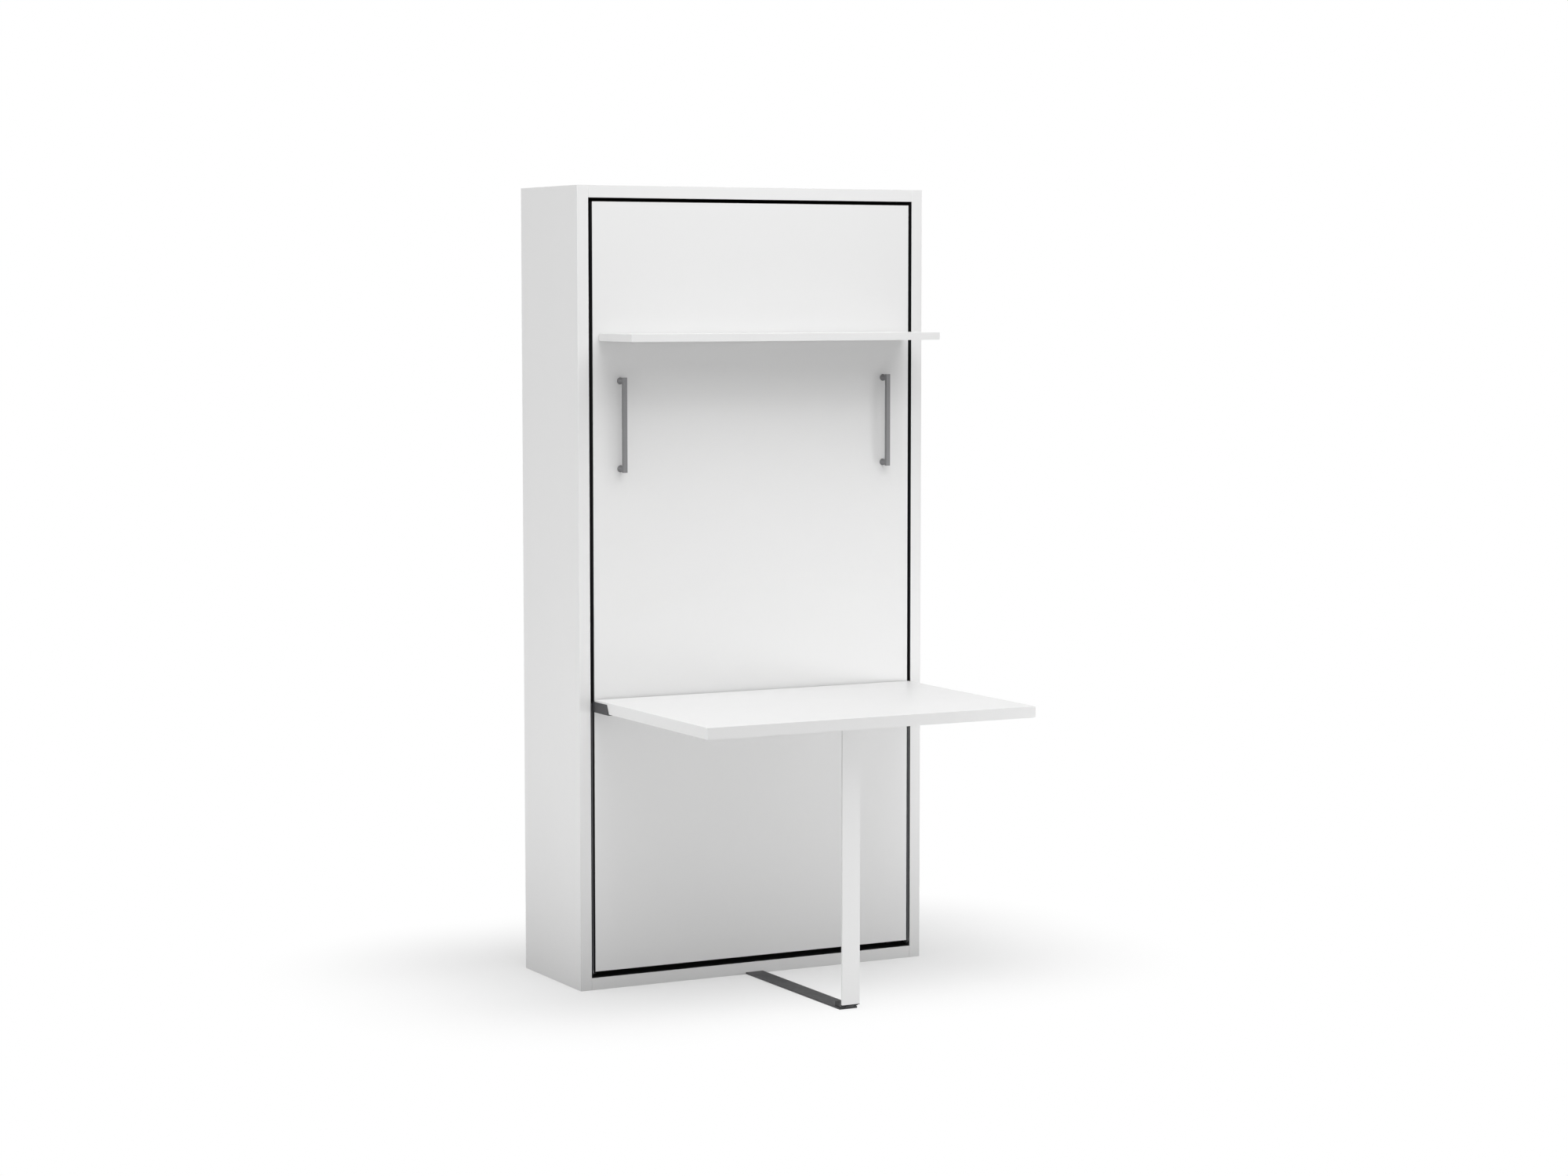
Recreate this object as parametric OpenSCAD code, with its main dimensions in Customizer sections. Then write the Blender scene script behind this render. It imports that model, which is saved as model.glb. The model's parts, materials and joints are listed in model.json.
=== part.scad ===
// Vertical wall bed with a desk that stays level and sinks under the bed as it opens.
// Millimetres, +Z up. Origin: centre of the cabinet's footprint on the floor.
// The front faces -Y. Drawn closed: bed upright in its cabinet, desk in use.
// Depths are counted from the plane of the cabinet's front edges: "back" is behind
// that plane (+Y), "out" is in front of it (-Y).

/* [Cabinet] */
// Overall width
cab_w = 1064; // [1040:1:1120]
// Overall depth
cab_d = 372; // [360:1:420]
// Overall height
cab_h = 2180; // [2160:1:2260]
// Thickness of the four boards
board_t = 33; // [28:1:38]
// Thickness of the back panel
back_t = 8; // [5:1:12]
// Height of the wall fixing rails
rail_h = 80; // [60:1:100]
// Thickness of the wall fixing rails
rail_t = 18; // [15:1:22]
// Distance of the wall screws from the side panels
wall_in = 99; // [60:1:200]
// Radius of the wall screw holes
wall_hole_r = 4; // [3:0.5:5]
// Height of the lower wall screws above the floor
wall_low = 120; // [100:5:160]
// Distance of the upper wall screws below the cabinet's top
wall_high = 100; // [80:5:140]

/* [Front panel] */
// Gap above the panel
gap_top = 10; // [6:1:14]
// Gap below the panel, which its lower edge swings through
gap_bottom = 17; // [14:1:24]
// Thickness of the panel
panel_t = 22; // [18:1:25]

/* [Bed] */
// Height of the panel's face above the floor when the bed is open
open_h = 206; // [200:1:240]
// Distance of the bed's pivot behind the front plane
pivot_back = 50; // [46:1:56]
// Radius of the bed's pivot pins
pivot_r = 9; // [7:0.5:10]
// Width of the frame tubes
tube_w = 25; // [22:1:30]
// Depth of the frame tubes
tube_d = 40; // [30:1:45]
// Wall of the frame tubes
tube_wall = 2; // [1.5:0.5:3]
// Distance of the frame's lower end above the panel's, in the closed bed
frame_low = 10; // [6:1:14]
// Distance of the frame's upper end below the panel's
frame_high = 27; // [20:1:60]
// Number of slats
slat_count = 13; // [10:1:14]
// Width of a slat
slat_w = 65; // [55:1:70]
// Thickness of a slat
slat_t = 8; // [7:0.5:10]

/* [Mattress] */
// Distance of the mattress from the frame's sides
mattress_in = 15; // [15:1:35]
// Distance of the mattress's upper end below the frame's
mattress_end = 19.5; // [15:0.5:100]
// Thickness of the mattress at its edge
mattress_t = 180; // [140:5:190]
// Rise of its crown
crown = 8; // [0:1:10]
// Depth that its sides are drawn in
draw_in = 5; // [0:1:8]

/* [Shelf] */
// Distance of the shelf's ends from the panel's sides
shelf_in = 18.5; // [10:0.5:50]
// Thickness of the shelf
shelf_t = 20; // [18:1:24]
// Distance of its underside below the panel's top
shelf_down = 373; // [340:1:440]

/* [Handles] */
// Length of a handle bar
handle_l = 256; // [200:1:260]
// Width of a handle bar
handle_w = 11.5; // [9:0.5:14]
// Depth of a handle bar
handle_d = 10; // [8:0.5:12]
// Distance of the bar's front from the panel
handle_out = 32; // [30:1:40]
// Distance of the bar's upper end below the shelf
handle_down = 98; // [60:1:120]
// Distance of the bars from the panel's sides
handle_in = 81.5; // [60:0.5:110]
// Radius of the post at the panel
post_r = 9.5; // [8:0.5:11]

/* [Desk] */
// Depth of the desk board
desk_d = 678; // [600:1:690]
// Thickness of the desk board
desk_t = 30; // [25:1:34]
// Height of the desk's top
desk_z = 796; // [740:1:800]
// Gap between the desk board and the panel
desk_gap = 6; // [4:0.5:10]
// Length of the bracket's cheek in front of the panel, at its lower edge
cheek_l = 96; // [80:1:120]
// Distance that the cheek's front edge leans back
cheek_lean = 13; // [0:1:20]
// Height of the cheek
cheek_h = 28; // [24:1:28]
// Width of the flange under the board
flange_w = 42; // [30:1:60]

/* [Arms] */
// Width of an arm
arm_w = 24; // [20:1:26]
// Thickness of an arm
arm_t = 4; // [3:0.5:4]
// Gap between the arm and the bottom panel
arm_low = 5; // [5:0.5:8]
// Space outside the arm for the heads of its pins
arm_out = 2.5; // [2.5:0.5:4]

/* [Leg and runner] */
// Width of the leg
leg_w = 53; // [45:1:60]
// Thickness of the leg
leg_t = 6; // [5:0.5:7]
// Distance of the leg's pivots behind the desk's front edge
leg_in = 142.5; // [110:0.5:200]
// Gap between the leg's eye and the runner
leg_low = 1; // [1:0.5:3]
// Radius of the leg's pins
leg_pin_r = 3.5; // [3:0.25:4]
// Thickness of the runner on the floor
runner_t = 5; // [4:0.5:5]

/* [Gas springs] */
// Radius of the cylinder
gas_r = 10.5; // [9:0.5:10.5]
// Length of the cylinder
gas_l = 200; // [195:1:205]
// Radius of the rod
rod_r = 4; // [3:0.5:5]
// Distance of the piston from the gland in the closed bed
piston_gap = 3.2; // [2:0.2:6]

/* [Hidden] */
$fn = 48;

// Shared clearances
run = 0.05;      // a shaft in its bore, radial
seat = 0.02;     // a fixed pin in its hole, radial
side_gap = 0.5;  // between flat faces that pass each other
edge_r = 1;      // rounding of the boards' edges

// Screws
wood_screw_r = 2;
wood_head_r = 4;
wood_head_t = 2.5;
wood_screw_l = 18;

// Cabinet
front_y = -cab_d / 2;
in_x = cab_w / 2 - board_t;
in_top = cab_h - board_t;
back_in = cab_d - back_t;
wall_x = in_x - wall_in;
wall_zs = [wall_low, cab_h - wall_high];
cam_r = 7.5;
cam_h = 12.5;
cam_slot = 1.5;
cam_inset = 34;
cam_front = 60;
cam_rear = 62;
cam_backs = [cam_front, back_in - cam_rear];

// Side gap: the bracket's cheek, the arm and the heads of the pins fill it
cheek_t = 3;
gap_side = side_gap + cheek_t + side_gap + arm_t + arm_out;
panel_x = in_x - gap_side;
panel_z0 = board_t + gap_bottom;
panel_z1 = in_top - gap_top;

// Space between the frame and the side panels: crank plate, gas spring and plate
crank_t = 6;
plate_t = 4;
plate_r = 10;
plate_edge = 14;
plate_near = 25;
plate_far = 65;
plate_screw = 60;
gas_gap = 1.5;
plate_x = in_x - plate_t;
gas_x = plate_x - gas_gap - gas_r;
crank_x = gas_x - gas_r - gas_gap;
frame_x = crank_x - crank_t;

// Bed
pivot_z = open_h + pivot_back;
rail_x = frame_x - tube_w;
frame_z = panel_z0 + frame_low;
frame_top = panel_z1 - frame_high;
frame_l = frame_top - frame_z;
frame_back = panel_t + tube_d;
cap_t = 2;
cap_l = 12;
plug_gap = 0.1;
boss_l = 10;
boss_r = 17;
bush_t = 3;
flange_r = pivot_r + 4;
flange_l = 2;
rail_back = panel_t + tube_d / 2;
crank_low = 40;
crank_high = 125;
crank_bolt_low = 55;
crank_bolt_high = 115;
crank_bolt_r = 4;
crank_head_r = 7;
crank_head_t = 4.5;
stud_boss_r = 16;

// Slats
holder_lip = 3;
holder_l = 33;
holder_out = 2;
slat_out = 8;
slat_low = 110;
slat_high = 90;
holder_w = slat_w + 2 * holder_lip;
slat_z0 = frame_z + slat_low;
slat_z1 = frame_top - slat_high;
slat_pitch = (slat_z1 - slat_z0) / (slat_count - 1);
slat_back = frame_back + holder_lip;
holder_back = slat_back + slat_t + holder_lip;

// Mattress, which stands on its stop plate in the closed bed
stop_t = 5;
stop_lip_t = 3;
stop_share = 0.6;
stop_z = frame_z + tube_w;
soft_gap = 0.5;
mattress_x = frame_x - mattress_in;
mattress_z0 = stop_z + stop_t + soft_gap;
mattress_l = frame_top - mattress_end - mattress_z0;
mattress_back = holder_back + soft_gap;
mattress_r = 45;
edge_round = 14;
strap_w = 45;
strap_t = 3;
strap_drop = 24;
strap_bend = 28;
strap_zs = [for (share = [0.35, 0.68]) slat_gap(round(share * slat_count))];
buckle_w = 58;
buckle_l = 62;
buckle_t = 9;
buckle_bar = 6;

// Rubber stops of the closed frame
block_h = 40;
block_t = 24;
block_in = 9;
block_gap = 0.3;

// Shelf and handles
shelf_w = 2 * (panel_x - shelf_in);
shelf_z = panel_z1 - shelf_down;
rod_xs = [-shelf_w * 0.4, -shelf_w * 0.14, shelf_w * 0.14, shelf_w * 0.4];
shelf_rod_r = 6;
shelf_rod_in = 120;
shelf_plate = 44;
shelf_plate_t = 3;
handle_x = panel_x - handle_in;
handle_z = shelf_z - handle_down - handle_l;
post_end_r = 6;
post_zs = [handle_z + post_r, handle_z + handle_l - post_r];
handle_screw_r = 2;
handle_screw_in = 18;
handle_head_r = 4.5;
handle_head_t = 3;

// Desk, its brackets and arms
desk_x = panel_x + side_gap;
flange_t = 3;
desk_under = desk_z - desk_t;
cheek_z0 = desk_under - flange_t;
arm_back = cheek_h / 2;
arm_top = cheek_z0 + cheek_h / 2;
arm_z = board_t + arm_low + arm_w / 2;
arm_l = arm_top - arm_z;
cheek_x = desk_x + cheek_t;
arm_x = cheek_x + side_gap;
arm_pin_r = 5;
arm_stud_r = 6;
arm_stud_in = 20;
ring_r = 9;
ring_t = 1.4;
ring_gap = 0.3;
flange_rear = desk_gap;
flange_screw_outs = [30, 70];

// Leg, upright under the desk, and its runner on the floor
eye_r = leg_t + 1;
eye_w = 24;
leg_out = desk_gap + desk_d - leg_in;
leg_z = runner_t + leg_low + eye_r;
leg_top = leg_z + arm_l;
leg_face = leg_out + 2 * leg_t;
ear_r = leg_t - 0.5;
ear_gap = 0.5;
leg_above = 18;
glide_t = 1.5;
glide_z = leg_z - 0.5;
pin_head_r = 5;
pin_head_t = 1.5;
clevis_x = 24;
clevis_l = 30;
clevis_front = leg_out - 2;
bracket_ear_t = 3;
bracket_plate_t = 3;
bracket_plate = 46;
bracket_screw_x = 17;
bracket_screw_out = 16;
bracket_head_t = 1.2;
runner_in = 60;
groove_gap = 0.2;
screw_sink = 0.3;

// Gas springs: the bed's crank stud when closed and the cabinet's foot, as [back, z]
stud_back = 55;
stud_drop = 95;
foot_in = 49;
foot_up = 244;
stud_closed = [pivot_back + stud_back, pivot_z - stud_drop];
gas_foot = [back_in - foot_in, pivot_z + foot_up];
gas_run = gas_foot - stud_closed;
gas_len = norm(gas_run);
gas_lean = atan2(gas_run[0], gas_run[1]);
gas_eye_r = 10;
gas_eye_t = 10;
gas_stud_r = 5;
gas_stud_out = 2;
gas_collar_r = 8;
gas_collar_gap = 0.3;
gas_wall = 2;
gas_bore_r = gas_r - gas_wall;
gas_cap = 8;
piston_l = 14;
gland_l = 14;
gas_mouth = gas_len - gas_eye_r - gas_l;
rod_l = gas_mouth + gland_l + piston_gap + piston_l;
bracket_r = 11;
bracket_half = 30;
bracket_hole = 28;

white = "white";
steel_dark = "dimgray";
steel = "silver";
black = "black";

// ---- helpers -------------------------------------------------------------------

// Draws the right-hand piece, or its mirror image on the left.
module on_side(side) {
    mirror([side < 0 ? 1 : 0, 0, 0]) children();
}

// Extrudes a profile drawn as (back, z) along X, from x by t.
module side_profile(x, t) {
    translate([x, front_y, 0]) rotate([90, 0, 90]) linear_extrude(t) children();
}

// A box from x0 to x1, back0 to back1 and z0 to z1.
module block(x0, x1, back0, back1, z0, z1) {
    translate([x0, front_y + back0, z0]) cube([x1 - x0, back1 - back0, z1 - z0]);
}

// A round bar along X from x0 to x1, centred at (back, z).
module bar_x(x0, x1, back, z, r) {
    translate([x0, front_y + back, z]) rotate([0, 90, 0]) cylinder(h = x1 - x0, r = r);
}

// A round bar along Y from back0 to back1.
module bar_y(x, back0, back1, z, r) {
    translate([x, front_y + back0, z]) rotate([-90, 0, 0]) cylinder(h = back1 - back0, r = r);
}

// A rectangle with round corners, lower left corner at (x, y).
module round_rect(x, y, w, h, r) {
    translate([x + r, y]) square([w - 2 * r, h]);
    translate([x, y + r]) square([w, h - 2 * r]);
    for (cx = [x + r, x + w - r], cy = [y + r, y + h - r])
        translate([cx, cy]) circle(r);
}

// A bar with round ends between two points.
module link(a, b, r) {
    run_ab = b - a;
    translate(a) circle(r);
    translate(b) circle(r);
    translate(a) rotate(atan2(run_ab[1], run_ab[0])) translate([0, -r])
        square([norm(run_ab), 2 * r]);
}

// A board lying in the X-Y plane with rounded upright edges.
module flat_board(w, back0, back1, z0, t, r) {
    translate([0, 0, z0]) linear_extrude(t)
        round_rect(-w / 2, front_y + back0, w, back1 - back0, r);
}

// A square tube along Z, open at both ends.
module tube_z(x0, x1, back0, back1, z0, z1) {
    difference() {
        block(x0, x1, back0, back1, z0, z1);
        block(x0 + tube_wall, x1 - tube_wall, back0 + tube_wall, back1 - tube_wall, z0 - 1, z1 + 1);
    }
}

// A square tube along X, open at both ends.
module tube_x(x, back0, back1, z0, z1) {
    difference() {
        block(-x, x, back0, back1, z0, z1);
        block(-x - 1, x + 1, back0 + tube_wall, back1 - tube_wall, z0 + tube_wall, z1 - tube_wall);
    }
}

// ---- cabinet -------------------------------------------------------------------

module side_panel(side) {
    color(white) on_side(side) difference() {
        linear_extrude(cab_h)
            round_rect(in_x, front_y, board_t, cab_d, edge_r);
        bar_x(in_x - 1, in_x + arm_stud_in + seat, arm_back, arm_z, arm_pin_r + seat);
        for (p = plate_holes())
            bar_x(in_x - 1, in_x + wood_screw_l, p[0], p[1], wood_screw_r + seat);
        for (p = gas_holes())
            bar_x(in_x - 1, in_x + wood_screw_l, p[0], p[1], wood_screw_r + seat);
    }
}

module cam_pockets(z) {
    for (side = [-1, 1], b = cam_backs)
        translate([side * (in_x - cam_inset), front_y + b, z]) cylinder(h = cam_h + 1, r = cam_r);
}

module top_panel() {
    color(white) difference() {
        flat_board(2 * in_x, 0, cab_d - back_t, in_top, board_t, edge_r);
        cam_pockets(in_top - 1);
    }
}

module bottom_panel() {
    color(white) difference() {
        flat_board(2 * in_x, 0, cab_d - back_t, 0, board_t, edge_r);
        cam_pockets(board_t - cam_h);
        block(-leg_w / 2 - side_gap, leg_w / 2 + side_gap, -1, runner_in + side_gap,
              -1, runner_t + groove_gap);
        for (x = runner_screw_xs())
            translate([x, front_y + runner_in / 2, 0]) cylinder(h = wood_screw_l, r = wood_screw_r + seat);
    }
}

module cam_locks() {
    color(steel) for (side = [-1, 1], b = cam_backs, z = [board_t - cam_h, in_top])
        translate([side * (in_x - cam_inset), front_y + b, z]) difference() {
            cylinder(h = cam_h, r = cam_r - seat);
            translate([-cam_r, -cam_slot / 2, z > cab_h / 2 ? -1 : cam_h - 3]) cube([2 * cam_r, cam_slot, 4]);
        }
}

module back_panel() {
    color(white) difference() {
        block(-in_x, in_x, cab_d - back_t, cab_d, 0, cab_h);
        wall_holes(cab_d - back_t - 1, cab_d + 1);
    }
}

module wall_holes(back0, back1) {
    for (x = [-wall_x, wall_x], z = wall_zs)
        bar_y(x, back0, back1, z, wall_hole_r);
}

module wall_rails() {
    color("burlywood") difference() {
        for (z = wall_zs)
            block(-in_x, in_x, back_in - rail_t, back_in, z - rail_h / 2, z + rail_h / 2);
        wall_holes(back_in - rail_t - 1, back_in + 1);
    }
}

// Screws that hold the bed's pivot plate, as [back, z].
function plate_holes() =
    [for (b = [plate_near, plate_far], dz = [-plate_screw, plate_screw]) [pivot_back + b, pivot_z + dz]];

// Screws that hold the gas spring's bracket, as [back, z].
function gas_holes() = [for (dz = [-bracket_hole, bracket_hole]) [gas_foot[0], gas_foot[1] + dz]];

// The plate has a nose that carries the pin and a wide body for its screws.
module pivot_plate(side) {
    nose_r = pivot_r + 6;
    body_back = pivot_back + plate_near - plate_edge;
    body_w = plate_far - plate_near + 2 * plate_edge;
    body_h = 2 * (plate_screw + plate_edge);
    color(steel_dark) on_side(side) side_profile(plate_x, plate_t) difference() {
        union() {
            link([pivot_back, pivot_z], [pivot_back + plate_far, pivot_z], nose_r);
            round_rect(body_back, pivot_z - body_h / 2, body_w, body_h, plate_r);
        }
        translate([pivot_back, pivot_z]) circle(pivot_r + seat);
        for (p = plate_holes())
            translate(p) circle(wood_screw_r + seat);
    }
}

module pivot_pins() {
    color(steel) for (side = [-1, 1]) on_side(side) {
        bar_x(frame_x + side_gap, in_x, pivot_back, pivot_z, pivot_r);
        bar_x(crank_x + boss_l + side_gap, crank_x + boss_l + side_gap + flange_l, pivot_back, pivot_z, flange_r);
    }
}

// Round head screws in the pivot plates and gas spring brackets.
module plate_screws() {
    color(steel) for (side = [-1, 1], p = concat(plate_holes(), gas_holes())) on_side(side) {
        bar_x(plate_x, in_x + wood_screw_l - 1, p[0], p[1], wood_screw_r);
        bar_x(plate_x - 2, plate_x, p[0], p[1], wood_head_r);
    }
}

// Studs that the desk arms swing on, let into the side panels.
module arm_pivots() {
    color(steel) for (side = [-1, 1]) on_side(side) {
        bar_x(in_x, in_x + arm_stud_in, arm_back, arm_z, arm_pin_r);
        bar_x(arm_x + arm_t + ring_gap, in_x, arm_back, arm_z, ring_r);
        bar_x(arm_x - ring_gap - ring_t, arm_x + arm_t + ring_gap, arm_back, arm_z, arm_stud_r);
        bar_x(arm_x - ring_gap - ring_t, arm_x - ring_gap, arm_back, arm_z, ring_r);
    }
}

module gas_brackets() {
    color(steel_dark) for (side = [-1, 1]) on_side(side) {
        side_profile(plate_x, plate_t) difference() {
            link(gas_foot - [0, bracket_half], gas_foot + [0, bracket_half], bracket_r);
            for (p = gas_holes())
                translate(p) circle(wood_screw_r + seat);
        }
        eye_in = gas_x - gas_eye_t / 2;
        eye_out = gas_x + gas_eye_t / 2;
        bar_x(eye_in - gas_stud_out, plate_x, gas_foot[0], gas_foot[1], gas_stud_r);
        bar_x(eye_in - gas_stud_out, eye_in - gas_collar_gap, gas_foot[0], gas_foot[1], gas_collar_r);
        bar_x(eye_out + gas_collar_gap, plate_x, gas_foot[0], gas_foot[1], gas_collar_r);
    }
}

// Rubber blocks that the closed frame comes to rest against.
module stop_blocks() {
    block_z = slat_gap(slat_count - 2) - block_h / 2;
    color(black) for (side = [-1, 1]) on_side(side)
        block(frame_x - block_in, in_x, frame_back + block_gap, frame_back + block_t, block_z, block_z + block_h);
}

// The flat runner is let into a groove under the cabinet's base.
module floor_runner() {
    color(steel_dark) difference() {
        block(-leg_w / 2, leg_w / 2, -clevis_front, runner_in, 0, runner_t);
        for (x = runner_screw_xs())
            translate([x, front_y + runner_in / 2, 0]) {
                translate([0, 0, -1]) cylinder(h = runner_t + 2, r = wood_screw_r + seat);
                translate([0, 0, -1]) cylinder(h = wood_head_t + 1, r = wood_head_r + seat);
            }
    }
}

function runner_screw_xs() = [-leg_w / 4, leg_w / 4];

module runner_screws() {
    color(steel) for (x = runner_screw_xs())
        translate([x, front_y + runner_in / 2, 0]) {
            translate([0, 0, screw_sink]) cylinder(h = wood_head_t - screw_sink, r = wood_head_r);
            translate([0, 0, screw_sink]) cylinder(h = wood_screw_l - 1, r = wood_screw_r);
        }
}

// Outline of the clevis ears: a low block with a round nose at the pin.
module ear_outline() {
    translate([-leg_out, leg_z]) circle(ear_r);
    translate([-clevis_front, runner_t]) square([clevis_l, leg_z + ear_r - runner_t]);
}

module foot_clevis() {
    color(black) {
        for (side = [-1, 1]) on_side(side)
            side_profile(eye_w / 2 + ear_gap, clevis_x - eye_w / 2 - ear_gap) difference() {
                ear_outline();
                translate([-leg_out, leg_z]) circle(leg_pin_r + seat);
            }
        block(-eye_w / 2 - ear_gap, eye_w / 2 + ear_gap, -leg_out + eye_r + 4,
              clevis_l - clevis_front, runner_t, leg_z + ear_r);
    }
}

module foot_pin() {
    color(steel) {
        bar_x(-clevis_x - pin_head_t, clevis_x + pin_head_t, -leg_out, leg_z, leg_pin_r);
        for (side = [-1, 1]) on_side(side)
            bar_x(clevis_x, clevis_x + pin_head_t, -leg_out, leg_z, pin_head_r);
    }
}

// ---- bed -----------------------------------------------------------------------

module front_panel() {
    color(white) difference() {
        block(-panel_x, panel_x, 0, panel_t, panel_z0, panel_z1);
        for (side = [-1, 1], z = post_zs)
            bar_y(side * handle_x, -1, panel_t + 1, z, handle_screw_r + seat);
        for (x = rod_xs) {
            bar_y(x, -1, panel_t + 1, shelf_z + shelf_t / 2, shelf_rod_r + seat);
            block(x - shelf_plate / 2 - seat, x + shelf_plate / 2 + seat, panel_t - shelf_plate_t,
                  panel_t + 1, shelf_z + shelf_t / 2 - shelf_plate / 2 - seat,
                  shelf_z + shelf_t / 2 + shelf_plate / 2 + seat);
        }
        for (p = panel_screw_points())
            bar_y(p[0], panel_t - 12, panel_t + 1, p[1], wood_screw_r + seat);
    }
}

// Lower edges of the cross bars; the upper bar stands midway between the handles' screws.
function cross_zs() =
    [for (z = [frame_z + frame_l / 4, frame_z + frame_l / 2, handle_z + handle_l / 2]) z - tube_w / 2];

// Screws through the cross bars into the panel, as [x, z].
function panel_screw_points() =
    [for (z = cross_zs(), share = [-0.7, 0, 0.7]) [rail_x * share, z + tube_w / 2]];

module frame_rail(side) {
    color(steel_dark) on_side(side)
        tube_z(rail_x, frame_x, panel_t, frame_back, frame_z, frame_top);
}

module frame_head_bar() {
    color(steel_dark) tube_x(rail_x, panel_t, frame_back, frame_top - tube_w, frame_top);
}

module frame_foot_bar() {
    color(steel_dark) tube_x(rail_x, panel_t, frame_back, frame_z, frame_z + tube_w);
}

module frame_cross_bars() {
    color(steel_dark) difference() {
        for (z = cross_zs())
            tube_x(rail_x, panel_t, frame_back, z, z + tube_w);
        for (p = panel_screw_points())
            bar_y(p[0], panel_t - 1, frame_back + 1, p[1], wood_screw_r + seat);
    }
}

module panel_screws() {
    color(steel) for (p = panel_screw_points()) {
        bar_y(p[0], panel_t - 11, frame_back, p[1], wood_screw_r);
        bar_y(p[0], frame_back, frame_back + 2, p[1], wood_head_r);
    }
}

// Plastic caps in the ends of the side rails, each a plate with a plug behind it.
module frame_end_caps() {
    inset = tube_wall + plug_gap;
    lap = cap_t / 2;
    color(black) for (side = [-1, 1], top = [false, true]) on_side(side) {
        cap_z = top ? frame_top : frame_z - cap_t;
        plug_z = top ? frame_top - cap_l : frame_z - lap;
        block(rail_x, frame_x, panel_t, frame_back, cap_z, cap_z + cap_t);
        block(rail_x + inset, frame_x - inset, panel_t + inset, frame_back - inset,
              plug_z, plug_z + cap_l + lap);
    }
}

// Bent plate that the mattress stands on in the closed bed.
module mattress_stop() {
    reach = mattress_back + mattress_t * stop_share;
    stop_x = mattress_x * stop_share;
    color(steel_dark) {
        block(-stop_x, stop_x, frame_back, reach, stop_z, stop_z + stop_t);
        block(-stop_x, stop_x, frame_back, frame_back + stop_lip_t, frame_z, stop_z);
        block(-stop_x, stop_x, reach, reach + stop_t, stop_z - tube_w / 2, stop_z + stop_t);
    }
}

function slat_centre(k) = slat_z0 + k * slat_pitch;

// Height of the middle of the gap above slat k.
function slat_gap(k) = slat_centre(k) + slat_pitch / 2;

module slats() {
    slat_x = frame_x - slat_out;
    color("burlywood") for (k = [0:slat_count - 1])
        translate([0, 0, slat_centre(k)]) side_profile(-slat_x, 2 * slat_x)
            round_rect(slat_back, -slat_w / 2, slat_t, slat_w, 2);
}

module slat_holders() {
    color(black) for (side = [-1, 1], k = [0:slat_count - 1]) on_side(side)
        translate([0, 0, slat_centre(k)]) difference() {
            block(frame_x - holder_l, frame_x - holder_out, frame_back, holder_back,
                  -holder_w / 2, holder_w / 2);
            block(frame_x - holder_l - 1, frame_x - slat_out + seat, slat_back - seat,
                  slat_back + slat_t + seat, -slat_w / 2 - seat, slat_w / 2 + seat);
        }
}

// Mattress: rings of a rounded rectangle, each with an inset and a height above
// the slats, follow a profile with drawn-in sides and a crowned top.
ring_n = 48;
side_steps = 8;
top_steps = 5;
crown_reach = mattress_x * 0.9;

// Inset of the side at a share u of the thickness, which both edges round off.
function side_inset(u) = draw_in * sin(180 * u) + edge_inset(u);
function edge_inset(u) = let (v = abs(2 * u - 1))
    v < 0.8 ? 0 : edge_round * (1 - sqrt(1 - pow((v - 0.8) / 0.2, 2)));
function mattress_profile() = concat(
    [for (k = [0:side_steps]) let (u = k / side_steps) [side_inset(u), mattress_t * u]],
    [for (k = [1:top_steps]) let (s = k / top_steps)
        [edge_round + (crown_reach - edge_round) * s, mattress_t + crown * sin(90 * s)]]
);

// A point of the rounded rectangle, drawn in by inset, at ring index i.
function ring_point(i, inset) =
    let (a = 360 * (i + 0.5) / ring_n,
         r = max(mattress_r - inset, 4),
         sx = cos(a) >= 0 ? 1 : -1,
         sz = sin(a) >= 0 ? 1 : -1,
         hx = mattress_x - inset - r,
         hz = mattress_l / 2 - inset - r)
    [sx * hx + r * cos(a), sz * hz + r * sin(a)];

module mattress() {
    profile = mattress_profile();
    rings = len(profile);
    mid_z = mattress_z0 + mattress_l / 2;
    points = concat(
        [for (p = profile, i = [0:ring_n - 1]) let (q = ring_point(i, p[0]))
            [q[0], front_y + mattress_back + p[1], mid_z + q[1]]],
        [[0, front_y + mattress_back, mid_z], [0, front_y + mattress_back + mattress_t + crown, mid_z]]);
    low = rings * ring_n;
    high = low + 1;
    sides = [for (k = [0:rings - 2], i = [0:ring_n - 1], half = [0, 1])
        let (j = (i + 1) % ring_n, a = k * ring_n, b = a + ring_n)
        half == 0 ? [a + i, b + i, a + j] : [b + i, b + j, a + j]];
    caps = [for (i = [0:ring_n - 1], half = [0, 1])
        let (j = (i + 1) % ring_n, top = (rings - 1) * ring_n)
        half == 0 ? [low, i, j] : [high, top + j, top + i]];
    color("whitesmoke") polyhedron(points, concat(sides, caps));
}

// Straps across the mattress, held by the outer sides of the frame rails.
module mattress_straps() {
    lift = mattress_back + mattress_t + crown + soft_gap;
    inner = mattress_x + 2 * soft_gap;
    color("darkslategray") for (z = strap_zs)
        translate([0, 0, z - strap_w / 2]) linear_extrude(strap_w) translate([0, front_y])
            for (side = [-1, 1]) mirror([side < 0 ? 1 : 0, 0])
                polygon([[0, lift], [inner - strap_bend, lift], [inner, lift - strap_bend / 2],
                         [inner, holder_back + strap_t], [frame_x, holder_back - strap_t],
                         [frame_x, frame_back - strap_drop],
                         [frame_x + strap_t, frame_back - strap_drop], [frame_x + strap_t, holder_back],
                         [inner + strap_t, holder_back + 2 * strap_t],
                         [inner + strap_t, lift - strap_bend / 2 + 1],
                         [inner - strap_bend + 1, lift + strap_t], [0, lift + strap_t]]);
}

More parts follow.
